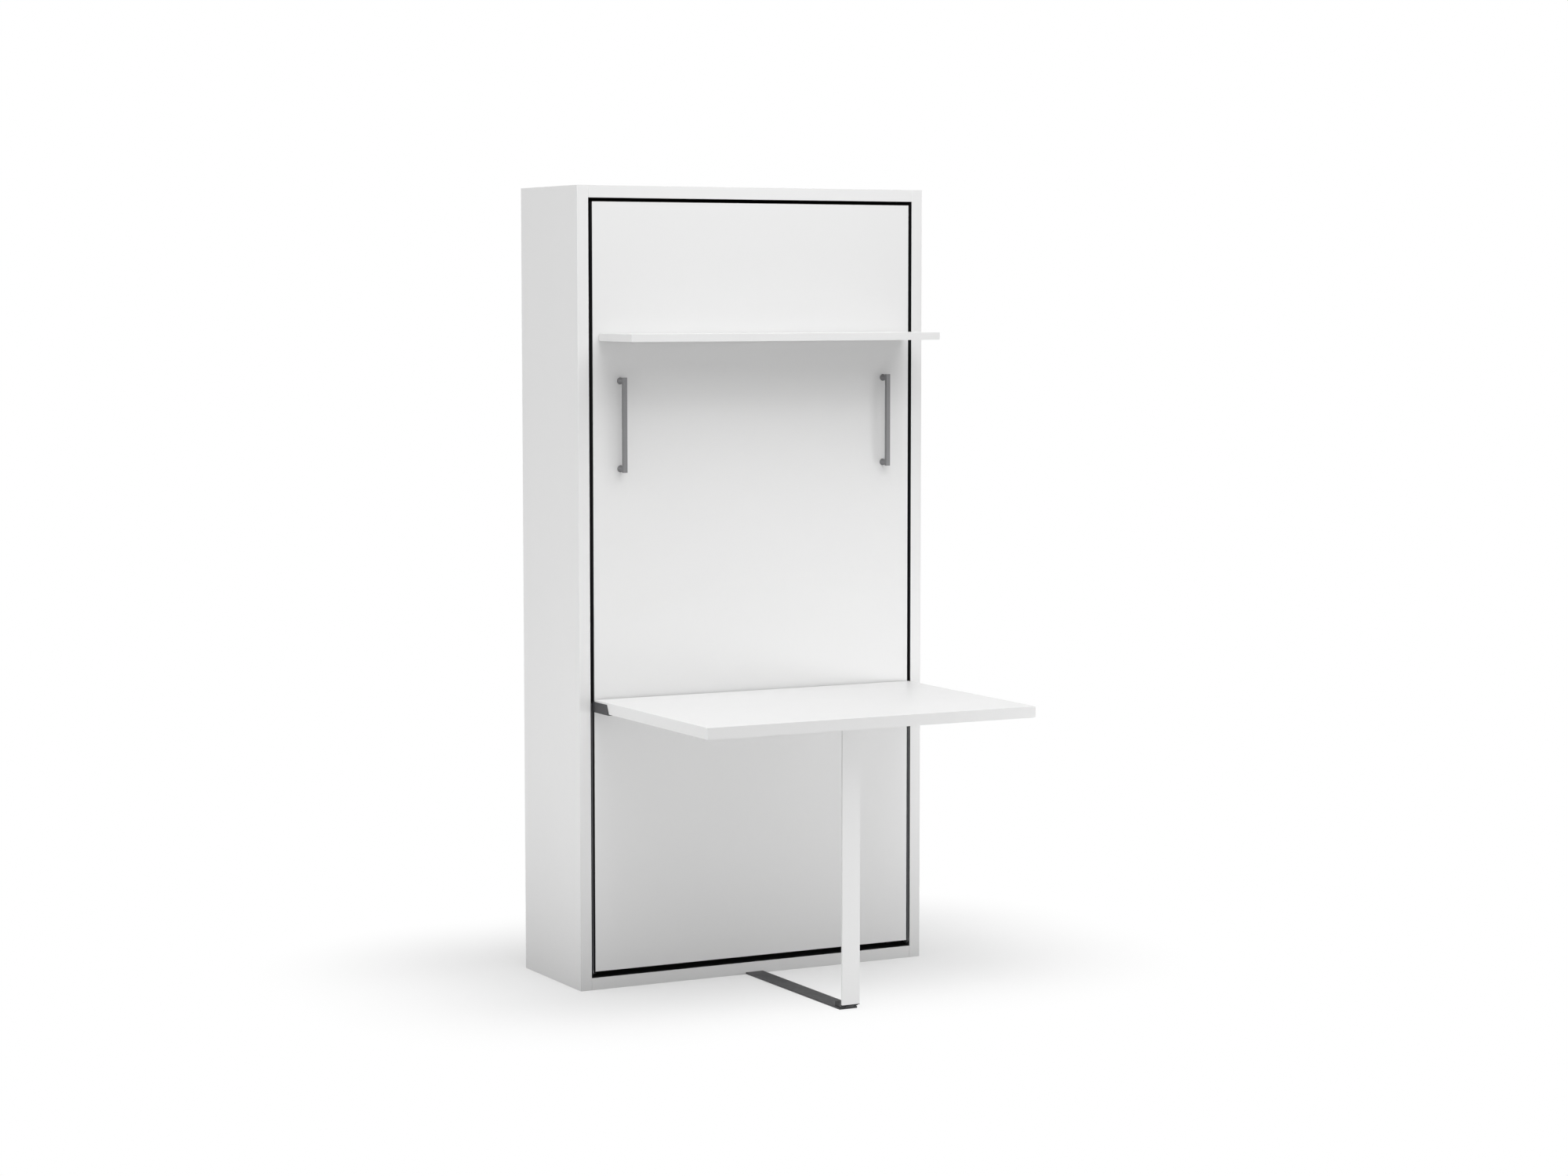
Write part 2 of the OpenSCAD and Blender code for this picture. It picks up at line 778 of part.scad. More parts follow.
module strap_buckles() {
    lift = mattress_back + mattress_t + crown + soft_gap + strap_t;
    color(black) for (z = strap_zs) translate([0, 0, z])
        difference() {
            block(-buckle_l / 2, buckle_l / 2, lift, lift + buckle_t, -buckle_w / 2, buckle_w / 2);
            for (side = [-1, 1]) on_side(side)
                block(buckle_l / 2 - 2 * buckle_bar, buckle_l / 2 - buckle_bar, lift - 1,
                      lift + buckle_t + 1, -strap_w / 2, strap_w / 2);
        }
}

// The shelf is the bed's foot: its depth is the height of the open panel.
module shelf_board() {
    color(white) difference() {
        union() {
            block(-shelf_w / 2, shelf_w / 2, -open_h, -shelf_t / 2, shelf_z, shelf_z + shelf_t);
            bar_x(-shelf_w / 2, shelf_w / 2, -shelf_t / 2, shelf_z + shelf_t / 2, shelf_t / 2);
        }
        for (x = rod_xs)
            bar_y(x, -shelf_rod_in - 2, 1, shelf_z + shelf_t / 2, shelf_rod_r + seat);
    }
}

module shelf_rods() {
    color(steel) for (x = rod_xs) {
        bar_y(x, -shelf_rod_in, panel_t - shelf_plate_t, shelf_z + shelf_t / 2, shelf_rod_r);
        block(x - shelf_plate / 2, x + shelf_plate / 2, panel_t - shelf_plate_t, panel_t,
              shelf_z + shelf_t / 2 - shelf_plate / 2, shelf_z + shelf_t / 2 + shelf_plate / 2);
    }
}

module handle(side) {
    bar_back = -handle_out + handle_d;
    color(steel) on_side(side) difference() {
        union() {
            block(handle_x - handle_w / 2, handle_x + handle_w / 2, -handle_out, bar_back,
                  handle_z, handle_z + handle_l);
            for (z = post_zs)
                translate([handle_x, front_y, z]) rotate([90, 0, 0])
                    cylinder(h = -bar_back, r1 = post_r, r2 = post_end_r);
        }
        for (z = post_zs)
            bar_y(handle_x, -handle_screw_in - 2, 1, z, handle_screw_r + seat);
    }
}

module handle_screws() {
    color(steel) for (side = [-1, 1], z = post_zs) {
        bar_y(side * handle_x, -handle_screw_in, panel_t, z, handle_screw_r);
        bar_y(side * handle_x, panel_t, panel_t + handle_head_t, z, handle_head_r);
    }
}

function crank_holes() = [for (dz = [crank_bolt_low, crank_bolt_high]) [rail_back, pivot_z + dz]];

// Plate on the rail's outer side: pivot boss, gas spring corner and bolts.
module crank_plate(side) {
    color(steel_dark) on_side(side) difference() {
        union() {
            side_profile(frame_x, crank_t) {
                link([rail_back, pivot_z - crank_low], [rail_back, pivot_z + crank_high], tube_d / 2);
                translate([pivot_back, pivot_z]) circle(boss_r + 2);
                translate(stud_closed) circle(stud_boss_r);
                link([pivot_back, pivot_z], stud_closed, stud_boss_r - 2);
                link([rail_back, pivot_z + crank_bolt_low], stud_closed, stud_boss_r - 4);
            }
            bar_x(frame_x, crank_x + boss_l, pivot_back, pivot_z, boss_r);
        }
        bar_x(frame_x - 1, crank_x + boss_l + 1, pivot_back, pivot_z, pivot_r + bush_t + seat);
        for (p = crank_holes())
            bar_x(frame_x - 1, crank_x + 1, p[0], p[1], crank_bolt_r + seat);
    }
}

module crank_bolts() {
    color(steel) for (side = [-1, 1], p = crank_holes()) on_side(side) {
        bar_x(frame_x, crank_x, p[0], p[1], crank_bolt_r);
        translate([crank_x, front_y + p[0], p[1]]) rotate([0, 90, 0])
            cylinder(h = crank_head_t, r = crank_head_r, $fn = 6);
    }
}

module pivot_bushes() {
    color(black) for (side = [-1, 1]) on_side(side) difference() {
        bar_x(frame_x, crank_x + boss_l, pivot_back, pivot_z, pivot_r + bush_t);
        bar_x(frame_x - 1, crank_x + boss_l + 1, pivot_back, pivot_z, pivot_r + run);
    }
}

// ---- desk ----------------------------------------------------------------------

module desk_top() {
    color(white) difference() {
        flat_board(2 * desk_x, -desk_gap - desk_d, -desk_gap, desk_under, desk_t, edge_r);
        for (p = flange_screws())
            translate([p[0], front_y - p[1], desk_under - 1]) cylinder(h = wood_screw_l, r = wood_screw_r + seat);
        for (p = leg_bracket_holes())
            translate([p[0], front_y - p[1], desk_under - 1]) cylinder(h = wood_screw_l, r = wood_screw_r + seat);
    }
}

// Screws through the bracket flanges, as [x, out].
function flange_screws() = [for (side = [-1, 1], o = flange_screw_outs) [side * (desk_x - flange_w / 2), o]];

// Angle bracket: a cheek on the board's end that reaches back into the side gap,
// with a leaning front edge, and a flange under the board.
module desk_bracket(side) {
    color(steel_dark) on_side(side) {
        side_profile(desk_x, cheek_t) difference() {
            union() {
                polygon([[-cheek_l, cheek_z0], [-cheek_l + cheek_lean, cheek_z0 + cheek_h],
                         [arm_back, cheek_z0 + cheek_h], [arm_back, cheek_z0]]);
                translate([arm_back, arm_top]) circle(cheek_h / 2);
            }
            translate([arm_back, arm_top]) circle(arm_pin_r + seat);
        }
        difference() {
            block(desk_x - flange_w, desk_x, -cheek_l, -flange_rear, cheek_z0, desk_under);
            for (o = flange_screw_outs)
                translate([desk_x - flange_w / 2, front_y - o, cheek_z0 - 1])
                    cylinder(h = flange_t + 2, r = wood_screw_r + seat);
        }
    }
}

module bracket_screws() {
    color(steel) for (p = flange_screws())
        translate([p[0], front_y - p[1], cheek_z0]) {
            translate([0, 0, -2]) cylinder(h = 2, r = wood_head_r);
            cylinder(h = wood_screw_l + flange_t - 3, r = wood_screw_r);
        }
}

// Pins fixed in the bracket cheeks, with a flat head outside the arm.
module desk_pins() {
    color(steel) for (side = [-1, 1]) on_side(side) {
        bar_x(desk_x, arm_x + arm_t + ring_gap, arm_back, arm_top, arm_pin_r);
        bar_x(arm_x + arm_t + ring_gap, in_x - side_gap, arm_back, arm_top, ring_r - 1);
    }
}

// Screws of the leg bracket, as [x, out].
function leg_bracket_holes() =
    [for (x = [-bracket_screw_x, bracket_screw_x], o = [-bracket_screw_out, bracket_screw_out])
        [x, leg_out + o]];

// Plate under the desk with two ears for the leg's upper pin.
module leg_bracket() {
    color(black) {
        difference() {
            block(-bracket_plate / 2, bracket_plate / 2, -leg_out - bracket_plate / 2,
                  -leg_out + bracket_plate / 2, desk_under - bracket_plate_t, desk_under);
            for (p = leg_bracket_holes())
                translate([p[0], front_y - p[1], desk_under - bracket_plate_t - 1])
                    cylinder(h = bracket_plate_t + 2, r = wood_screw_r + seat);
        }
        for (side = [-1, 1]) on_side(side)
            side_profile(eye_w / 2 + ear_gap, bracket_ear_t) difference() {
                link([-leg_out, leg_top], [-leg_out, desk_under - bracket_plate_t - ear_r], ear_r);
                translate([-leg_out, leg_top]) circle(leg_pin_r + seat);
            }
        for (side = [-1, 1]) on_side(side)
            block(eye_w / 2 + ear_gap, eye_w / 2 + ear_gap + bracket_ear_t, -leg_out - ear_r,
                  -leg_out + ear_r, leg_top + ear_r, desk_under - bracket_plate_t);
    }
}

module leg_bracket_screws() {
    color(steel) for (p = leg_bracket_holes())
        translate([p[0], front_y - p[1], desk_under - bracket_plate_t]) {
            translate([0, 0, -bracket_head_t]) cylinder(h = bracket_head_t, r = wood_head_r - 0.5);
            cylinder(h = wood_screw_l, r = wood_screw_r);
        }
}

module leg_top_pin() {
    pin_x = eye_w / 2 + ear_gap + bracket_ear_t;
    color(steel) {
        bar_x(-pin_x, pin_x, -leg_out, leg_top, leg_pin_r);
        for (side = [-1, 1]) on_side(side)
            bar_x(pin_x, pin_x + pin_head_t, -leg_out, leg_top, pin_head_r);
    }
}

// ---- arms, leg and gas springs --------------------------------------------------

module arm(side) {
    color(steel_dark) on_side(side) side_profile(arm_x, arm_t) difference() {
        link([arm_back, arm_z], [arm_back, arm_top], arm_w / 2);
        translate([arm_back, arm_z]) circle(arm_stud_r + run);
        translate([arm_back, arm_top]) circle(arm_pin_r + run);
    }
}

// Flat bar with an eye behind each end; the bar hides both joints from the front.
module leg_bar() {
    color(steel) difference() {
        union() {
            block(-leg_w / 2, leg_w / 2, -leg_face, -leg_face + leg_t,
                  glide_z + glide_t, leg_top + leg_above);
            for (z = [leg_z, leg_top])
                bar_x(-eye_w / 2, eye_w / 2, -leg_out, z, eye_r);
        }
        bar_x(-eye_w, eye_w, -leg_out, leg_z, leg_pin_r + run);
        bar_x(-eye_w, eye_w, -leg_out, leg_top, leg_pin_r + run);
    }
}

module leg_glide() {
    glide_back = -leg_out - eye_r - side_gap;
    color(black) block(-leg_w / 2, leg_w / 2, -leg_face, glide_back, glide_z, glide_z + glide_t);
}

// Draws a gas spring piece along its own axis: local +Z runs from the rod's stud
// on the bed to the foot on the cabinet.
module along_gas(side) {
    on_side(side) translate([gas_x, front_y + stud_closed[0], stud_closed[1]])
        rotate([-gas_lean, 0, 0]) children();
}

module gas_cylinder(side) {
    color(steel_dark) along_gas(side) difference() {
        union() {
            translate([0, 0, gas_mouth]) cylinder(h = gas_l, r = gas_r);
            translate([-gas_eye_t / 2, 0, gas_len]) rotate([0, 90, 0]) cylinder(h = gas_eye_t, r = gas_eye_r);
            translate([-gas_eye_t / 2, -5, gas_len - gas_eye_r - 1]) cube([gas_eye_t, 10, 5]);
        }
        translate([0, 0, gas_mouth - 1]) cylinder(h = gas_l, r = rod_r + run);
        translate([0, 0, gas_mouth + gland_l]) cylinder(h = gas_l - gland_l - gas_cap, r = gas_bore_r);
        translate([-gas_eye_t, 0, gas_len]) rotate([0, 90, 0]) cylinder(h = 2 * gas_eye_t, r = gas_stud_r + run);
    }
}

module gas_rod(side) {
    stud_in = gas_x - crank_x - 0.4;
    color(steel) along_gas(side) {
        difference() {
            union() {
                cylinder(h = rod_l, r = rod_r);
                translate([0, 0, rod_l - piston_l]) cylinder(h = piston_l, r = gas_bore_r - run);
                translate([-gas_eye_t / 2, 0, 0]) rotate([0, 90, 0]) cylinder(h = gas_eye_t, r = gas_eye_r);
            }
            translate([-gas_eye_t, 0, 0]) rotate([0, 90, 0]) cylinder(h = 2 * gas_eye_t, r = gas_stud_r);
        }
        translate([-stud_in, 0, 0]) rotate([0, 90, 0]) cylinder(h = stud_in + gas_eye_t / 2, r = gas_stud_r);
    }
}

side_panel(-1);  // side_panel_left
side_panel(1);  // side_panel_right
top_panel();
bottom_panel();
back_panel();
wall_rails();
cam_locks();
pivot_plate(-1);  // pivot_plate_left
pivot_plate(1);  // pivot_plate_right
pivot_pins();
plate_screws();
arm_pivots();
gas_brackets();
stop_blocks();
floor_runner();
foot_clevis();
foot_pin();
runner_screws();
front_panel();
frame_rail(-1);  // frame_rail_left
frame_rail(1);  // frame_rail_right
frame_head_bar();
frame_foot_bar();
frame_cross_bars();
frame_end_caps();
panel_screws();
mattress_stop();
slats();
slat_holders();
mattress();
mattress_straps();
strap_buckles();
shelf_board();
shelf_rods();
handle(-1);  // handle_left
handle(1);  // handle_right
handle_screws();
crank_plate(-1);  // crank_plate_left
crank_plate(1);  // crank_plate_right
crank_bolts();
pivot_bushes();
desk_top();
desk_bracket(-1);  // desk_bracket_left
desk_bracket(1);  // desk_bracket_right
desk_pins();
bracket_screws();
leg_bracket();
leg_bracket_screws();
leg_top_pin();
arm(-1);  // arm_left
arm(1);  // arm_right
leg_bar();
leg_glide();
gas_cylinder(-1);  // gas_cylinder_left
gas_cylinder(1);  // gas_cylinder_right
gas_rod(-1);  // gas_rod_left
gas_rod(1);  // gas_rod_right
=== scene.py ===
"""Looks of a vertical wall bed with a desk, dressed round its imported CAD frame.

Metres, +Z up, the front faces -Y. The bed is closed and the desk is in use.
"""

import json
import math

import bmesh
import bpy
import numpy as np
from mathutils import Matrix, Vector


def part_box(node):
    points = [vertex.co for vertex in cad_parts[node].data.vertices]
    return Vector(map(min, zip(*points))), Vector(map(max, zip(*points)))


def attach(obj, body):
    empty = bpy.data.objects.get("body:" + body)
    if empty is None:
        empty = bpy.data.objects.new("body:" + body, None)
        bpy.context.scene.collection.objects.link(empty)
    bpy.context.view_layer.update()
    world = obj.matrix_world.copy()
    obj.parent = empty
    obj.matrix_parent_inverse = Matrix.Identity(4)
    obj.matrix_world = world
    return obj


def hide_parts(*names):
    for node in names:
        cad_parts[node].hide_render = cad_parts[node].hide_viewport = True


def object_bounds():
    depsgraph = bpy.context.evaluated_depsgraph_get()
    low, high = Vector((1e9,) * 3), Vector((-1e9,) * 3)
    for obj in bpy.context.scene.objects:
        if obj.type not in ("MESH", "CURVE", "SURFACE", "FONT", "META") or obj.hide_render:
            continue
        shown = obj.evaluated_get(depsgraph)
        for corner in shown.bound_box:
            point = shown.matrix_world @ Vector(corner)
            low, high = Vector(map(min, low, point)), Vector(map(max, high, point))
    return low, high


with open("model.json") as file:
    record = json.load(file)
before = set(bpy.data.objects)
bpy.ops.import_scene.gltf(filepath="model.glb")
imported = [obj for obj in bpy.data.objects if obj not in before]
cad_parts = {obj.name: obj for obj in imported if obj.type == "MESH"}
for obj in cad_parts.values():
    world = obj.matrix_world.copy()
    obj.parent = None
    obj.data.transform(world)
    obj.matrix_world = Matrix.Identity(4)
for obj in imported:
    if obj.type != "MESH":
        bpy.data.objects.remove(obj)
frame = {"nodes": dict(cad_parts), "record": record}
cad_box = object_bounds()
MM = 0.001

# ---- camera: the photograph's angle, worked out from the cabinet's edges ----------

IMAGE_WIDTH = 2000
FOCAL_PIXELS = 4373
SENSOR = 36.0              # width in millimetres
AZIMUTH = math.radians(27.98)
ELEVATION = math.radians(4.96)
CAMERA_AT = Vector((-4.3586, -8.5654, 1.8994))
CAMERA_REACH = 100.0


def add_camera():
    camera = bpy.data.objects.new("camera", bpy.data.cameras.new("camera"))
    bpy.context.scene.collection.objects.link(camera)
    forward = Vector((
        math.sin(AZIMUTH) * math.cos(ELEVATION),
        math.cos(AZIMUTH) * math.cos(ELEVATION),
        -math.sin(ELEVATION),
    ))
    camera.location = CAMERA_AT
    camera.rotation_euler = forward.to_track_quat("-Z", "Y").to_euler()
    camera.data.sensor_width = SENSOR
    camera.data.lens = SENSOR * FOCAL_PIXELS / IMAGE_WIDTH
    camera.data.clip_end = CAMERA_REACH
    bpy.context.scene.camera = camera


# ---- shader nodes -----------------------------------------------------------------

WAVE_RADIANS = 20          # per metre, of the wave texture at scale 1


class Tree:
    """Adds nodes to the shader tree of a material or the world."""

    def __init__(self, tree):
        self.nodes, self.links = tree.nodes, tree.links

    def add(self, kind, inputs=None, **settings):
        node = self.nodes.new(kind)
        for key, value in settings.items():
            setattr(node, key, value)
        for key, value in (inputs or {}).items():
            if isinstance(value, bpy.types.NodeSocket):
                self.links.new(value, node.inputs[key])
            else:
                node.inputs[key].default_value = value
        return node

    def axes(self, kind="Object"):
        """X, Y and Z of a texture coordinate, as sockets by their names."""
        where = self.add("ShaderNodeTexCoord").outputs[kind]
        return self.add("ShaderNodeSeparateXYZ", {0: where}).outputs

    def math(self, operation, first, second=0.0):
        return self.add("ShaderNodeMath", {0: first, 1: second}, operation=operation).outputs[0]

    def spread(self, value, low, high):
        """Maps 0..1 to low..high."""
        return self.add("ShaderNodeMapRange", {
            "Value": value, "To Min": low, "To Max": high,
        }).outputs["Result"]

    def ramp(self, value, reach, low=0.0, high=1.0):
        """Rises softly from low to high while the value passes through its reach."""
        return self.add("ShaderNodeMapRange", {
            "Value": value, "From Min": reach[0], "From Max": reach[1],
            "To Min": low, "To Max": high,
        }, interpolation_type="SMOOTHSTEP").outputs["Result"]

    def mix(self, share, first, second):
        """Numbers first and second mixed by share, where 1 is all of the second."""
        rest = self.math("SUBTRACT", 1.0, share)
        return self.math("ADD", self.math("MULTIPLY", share, second),
                         self.math("MULTIPLY", rest, first))

    def seen(self):
        """1 for camera, glossy and transmission rays, and 0 for all others."""
        path = self.add("ShaderNodeLightPath").outputs
        mirrored = self.math("MAXIMUM", path["Is Camera Ray"], path["Is Glossy Ray"])
        return self.math("MAXIMUM", mirrored, path["Is Transmission Ray"])


class Look(Tree):
    """A procedural material in object coordinates, so that it rides with its object."""

    def __init__(self, name, color, roughness, metallic=0.0, **sockets):
        self.material = bpy.data.materials.new(name)
        self.material.use_nodes = True
        super().__init__(self.material.node_tree)
        self.shader = self.nodes["Principled BSDF"]
        self.set("Base Color", (*color, 1))
        self.set("Roughness", roughness)
        self.set("Metallic", metallic)
        for socket, value in sockets.items():
            self.set(socket.replace("_", " "), value)
        self.normal = None

    def set(self, socket, value):
        self.shader.inputs[socket].default_value = value

    def coordinates(self, scale=(1, 1, 1), turn=(0, 0, 0)):
        where = self.add("ShaderNodeTexCoord").outputs["Object"]
        return self.add("ShaderNodeMapping", {
            "Vector": where, "Scale": scale, "Rotation": turn,
        }).outputs["Vector"]

    def noise(self, scale, stretch=(1, 1, 1), detail=2.0, roughness=0.5):
        return self.add("ShaderNodeTexNoise", {
            "Vector": self.coordinates(stretch), "Scale": scale,
            "Detail": detail, "Roughness": roughness,
        }).outputs["Fac"]

    def bands(self, period, axis, turn=(0, 0, 0)):
        """Sine bands across an axis, with the given period in metres."""
        return self.add("ShaderNodeTexWave", {
            "Vector": self.coordinates(turn=turn),
            "Scale": 2 * math.pi / (WAVE_RADIANS * period),
        }, bands_direction=axis, wave_profile="SIN").outputs["Fac"]

    def blend(self, share, first, second):
        """Colours first and second mixed by share; each is a colour or a socket."""
        node = self.add("ShaderNodeMix", data_type="RGBA")
        self.links.new(share, node.inputs["Factor"])
        for key, value in (("A", first), ("B", second)):
            socket = next(s for s in node.inputs if s.name == key and s.type == "RGBA")
            if isinstance(value, bpy.types.NodeSocket):
                self.links.new(value, socket)
            else:
                socket.default_value = (*value, 1)
        return next(s for s in node.outputs if s.type == "RGBA")

    def color(self, socket):
        self.links.new(socket, self.shader.inputs["Base Color"])

    def rough(self, socket):
        self.links.new(socket, self.shader.inputs["Roughness"])

    def bump(self, height, distance, strength=1.0):
        """Lays a relief over the ones before it."""
        node = self.add("ShaderNodeBump", {
            "Height": height, "Distance": distance, "Strength": strength,
        })
        if self.normal is not None:
            self.links.new(self.normal, node.inputs["Normal"])
        self.normal = node.outputs["Normal"]
        self.links.new(self.normal, self.shader.inputs["Normal"])


# ---- boards -----------------------------------------------------------------------

WHITE = (0.80, 0.80, 0.80)
WHITE_TONES = ((0.79, 0.79, 0.79), (0.81, 0.81, 0.808))
ANTHRACITE = (0.030, 0.031, 0.033)


def faced_board(name):
    """White faced board with a fine pearl grain and a faint waviness of its surface."""
    look = Look(name, WHITE, 0.4, Specular_IOR_Level=0.45)
    look.rough(look.spread(look.noise(14, detail=3), 0.36, 0.46))
    look.bump(look.noise(5, detail=1), 0.25 * MM)
    look.bump(look.noise(900, detail=3), 0.03 * MM, 0.6)
    return look


def cloudy_white(look):
    """A soft cloud of tone, and the white board's colour with it."""
    tone = look.noise(3, detail=4)
    return tone, look.blend(tone, *WHITE_TONES)


def white_board():
    look = faced_board("white_board")
    _, white = cloudy_white(look)
    look.color(white)
    return look


def cabinet_board_painted_shade_inside():
    """White board whose faces inside the cabinet are painted dark grey: painted shade, as it shows
    in the gaps round the panel.
    """
    look = faced_board("cabinet_board_painted_shade_inside")
    where = look.axes()
    low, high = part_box("back_panel")
    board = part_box("bottom_panel")[1].z
    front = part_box("side_panel_left")[0].y
    edge = 0.6 * MM
    inside = look.math("LESS_THAN", look.math("ABSOLUTE", where["X"]), high.x + edge)
    for axis, kind, limit in (
        ("Y", "GREATER_THAN", front + edge),
        ("Y", "LESS_THAN", low.y + edge),
        ("Z", "GREATER_THAN", board - edge),
        ("Z", "LESS_THAN", high.z - board + edge),
    ):
        inside = look.math("MULTIPLY", inside, look.math(kind, where[axis], limit))
    tone, white = cloudy_white(look)
    # Painted shade: the faces inside the cabinet are coloured dark grey, standing in for the shade
    # in the gaps.
    dark = look.blend(tone, (0.028, 0.029, 0.031), (0.036, 0.037, 0.039))
    look.color(look.blend(inside, white, dark))
    return look


def panel_board_painted_edge_shade():
    """White board with its edges painted dark grey: painted shade, as it shows in the gaps round
    the panel.
    """
    look = faced_board("panel_board_painted_edge_shade")
    where = look.axes()
    low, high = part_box("front_panel")
    edge = 0.4 * MM
    # Painted shade: the panel's side, top and bottom edges are coloured dark grey, standing in for
    # the shade in the gaps.
    painted_edge_shade = look.math("GREATER_THAN", look.math("ABSOLUTE", where["X"]), high.x - edge)
    for kind, limit in (("LESS_THAN", low.z + edge), ("GREATER_THAN", high.z - edge)):
        painted_edge_shade = look.math("MAXIMUM", painted_edge_shade, look.math(kind, where["Z"], limit))
    tone, white = cloudy_white(look)
    dark = look.blend(tone, (0.050, 0.051, 0.053), (0.062, 0.063, 0.065))
    look.color(look.blend(painted_edge_shade, white, dark))
    return look


def back_board():
    """Thin board, anthracite inside, plain white behind and on its edges."""
    look = Look("back_board", ANTHRACITE, 0.6, Specular_IOR_Level=0.4)
    edge = 0.5 * MM
    behind = look.math("GREATER_THAN", look.axes()["Y"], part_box("back_panel")[0].y + edge)
    fibre = look.noise(220, (1, 1, 0.35), detail=5, roughness=0.65)
    dark = look.blend(fibre, (0.026, 0.027, 0.029), (0.038, 0.039, 0.042))
    pale = look.blend(fibre, (0.66, 0.66, 0.65), (0.74, 0.74, 0.73))
    look.color(look.blend(behind, dark, pale))
    look.bump(fibre, 0.06 * MM, 0.6)
    return look


def beech():
    """Laminated beech: long grain along the slat, short flecks and layers on its edges."""
    look = Look("beech", (0.6, 0.42, 0.25), 0.42, Specular_IOR_Level=0.5)
    grain = look.noise(9, (0.6, 14, 9), detail=6, roughness=0.6)
    flecks = look.noise(210, (0.12, 1.4, 1.4), detail=2)
    layers = look.bands(1.6 * MM, "Y")
    tone = look.blend(grain, (0.50, 0.33, 0.185), (0.68, 0.49, 0.31))
    tone = look.blend(look.spread(flecks, -0.25, 0.5), tone, (0.40, 0.25, 0.13))
    tone = look.blend(look.spread(layers, 0, 0.16), tone, (0.36, 0.22, 0.12))
    look.color(tone)
    look.rough(look.spread(grain, 0.36, 0.52))
    look.bump(grain, 0.12 * MM, 0.5)
    look.bump(flecks, 0.05 * MM, 0.5)
    return look


# ---- metals and plastics ----------------------------------------------------------


def scaled(color, factor):
    return tuple(factor * part for part in color)


def anthracite_steel():
    """Powder coat: a fine pebbled film over steel."""
    look = Look("anthracite_steel", ANTHRACITE, 0.48, Specular_IOR_Level=0.5)
    tone = look.noise(30, detail=4)
    look.color(look.blend(tone, (0.033, 0.034, 0.036), (0.045, 0.046, 0.049)))
    look.rough(look.spread(look.noise(60), 0.40, 0.56))
    look.bump(look.noise(1500, detail=2), 0.05 * MM, 0.7)
    return look


def brushed(name, color, roughness, stretch, metallic, sheen_turn=0.0):
    """Brushed steel: long fine scratches along the axis whose stretch is small."""
    look = Look(name, color, roughness, metallic, Anisotropic=0.7, Anisotropic_Rotation=sheen_turn)
    scratches = look.noise(700, stretch, detail=4, roughness=0.7)
    cloud = look.noise(12, detail=2)
    scratched = look.math("MULTIPLY", scratches, cloud)
    look.color(look.blend(scratched, color, scaled(color, 0.86)))
    look.rough(look.spread(scratches, roughness - 0.07, roughness + 0.09))
    look.bump(scratches, 0.012 * MM, 0.5)
    return look


def leg_steel():
    """Silver lacquer over brushed steel; its rolled eyes and its end below the glide's top are
    painted black, as painted shade round its joints.
    """
    silver, black, metallic = (0.80, 0.80, 0.80), (0.020, 0.020, 0.021), 0.3
    look = brushed("brushed_leg", silver, 0.38, (1, 1, 0.02), metallic, sheen_turn=0.25)
    where = look.axes()
    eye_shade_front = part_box("foot_pin")[0].y - 0.7 * MM
    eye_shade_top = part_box("leg_glide")[0].z + 0.3 * MM
    behind = look.math("GREATER_THAN", where["Y"], eye_shade_front)
    below = look.math("LESS_THAN", where["Z"], eye_shade_top)
    # Painted shade: the eyes behind the bar's face and the end below the glide are black and not
    # metallic.
    painted_shade_eyes = look.math("MAXIMUM", behind, below)
    look.color(look.blend(painted_shade_eyes, silver, black))
    look.links.new(look.spread(painted_shade_eyes, metallic, 0.0), look.shader.inputs["Metallic"])
    return look


def zinc_steel():
    """Zinc plate with its patches of brighter and duller crystals."""
    look = Look("zinc_steel", (0.58, 0.59, 0.60), 0.34, 1.0)
    patch = look.noise(160, detail=3)
    look.color(look.blend(patch, (0.50, 0.51, 0.53), (0.66, 0.66, 0.65)))
    look.rough(look.spread(patch, 0.26, 0.42))
    look.bump(look.noise(900), 0.01 * MM, 0.5)
    return look


def black_steel():
    """Black oxide with its slight oily sheen."""
    look = Look("black_steel", (0.022, 0.022, 0.024), 0.36, Specular_IOR_Level=0.6)
    patch = look.noise(120, detail=3)
    look.color(look.blend(patch, (0.017, 0.017, 0.019), (0.030, 0.030, 0.032)))
    look.rough(look.spread(patch, 0.30, 0.44))
    look.bump(look.noise(700), 0.01 * MM, 0.5)
    return look


def moulded(name, color, roughness, grain):
    """Moulded plastic or rubber with a spark-eroded grain."""
    look = Look(name, color, roughness, Specular_IOR_Level=0.4)
    tone = look.noise(45, detail=3)
    look.color(look.blend(tone, scaled(color, 0.8), scaled(color, 1.25)))
    look.rough(look.spread(tone, roughness - 0.06, roughness + 0.08))
    look.bump(look.noise(grain, detail=2), 0.05 * MM, 0.6)
    return look


def gas_black():
    """Glossy black lacquer of the gas springs' cylinders."""
    look = Look("gas_black", (0.012, 0.012, 0.013), 0.24, Coat_Weight=0.4, Coat_Roughness=0.12)
    look.rough(look.spread(look.noise(40, detail=3), 0.2, 0.32))
    look.bump(look.noise(260, detail=2), 0.02 * MM, 0.4)
    return look


def chrome_rod():
    """Hard chrome, with fine marks along the rod."""
    look = Look("chrome_rod", (0.78, 0.79, 0.80), 0.08, 1.0)
    look.rough(look.spread(look.noise(500, (1, 1, 0.05), detail=3), 0.05, 0.13))
    look.bump(look.noise(1200, (1, 1, 0.05)), 0.002 * MM, 0.4)
    return look


# ---- cloth ------------------------------------------------------------------------


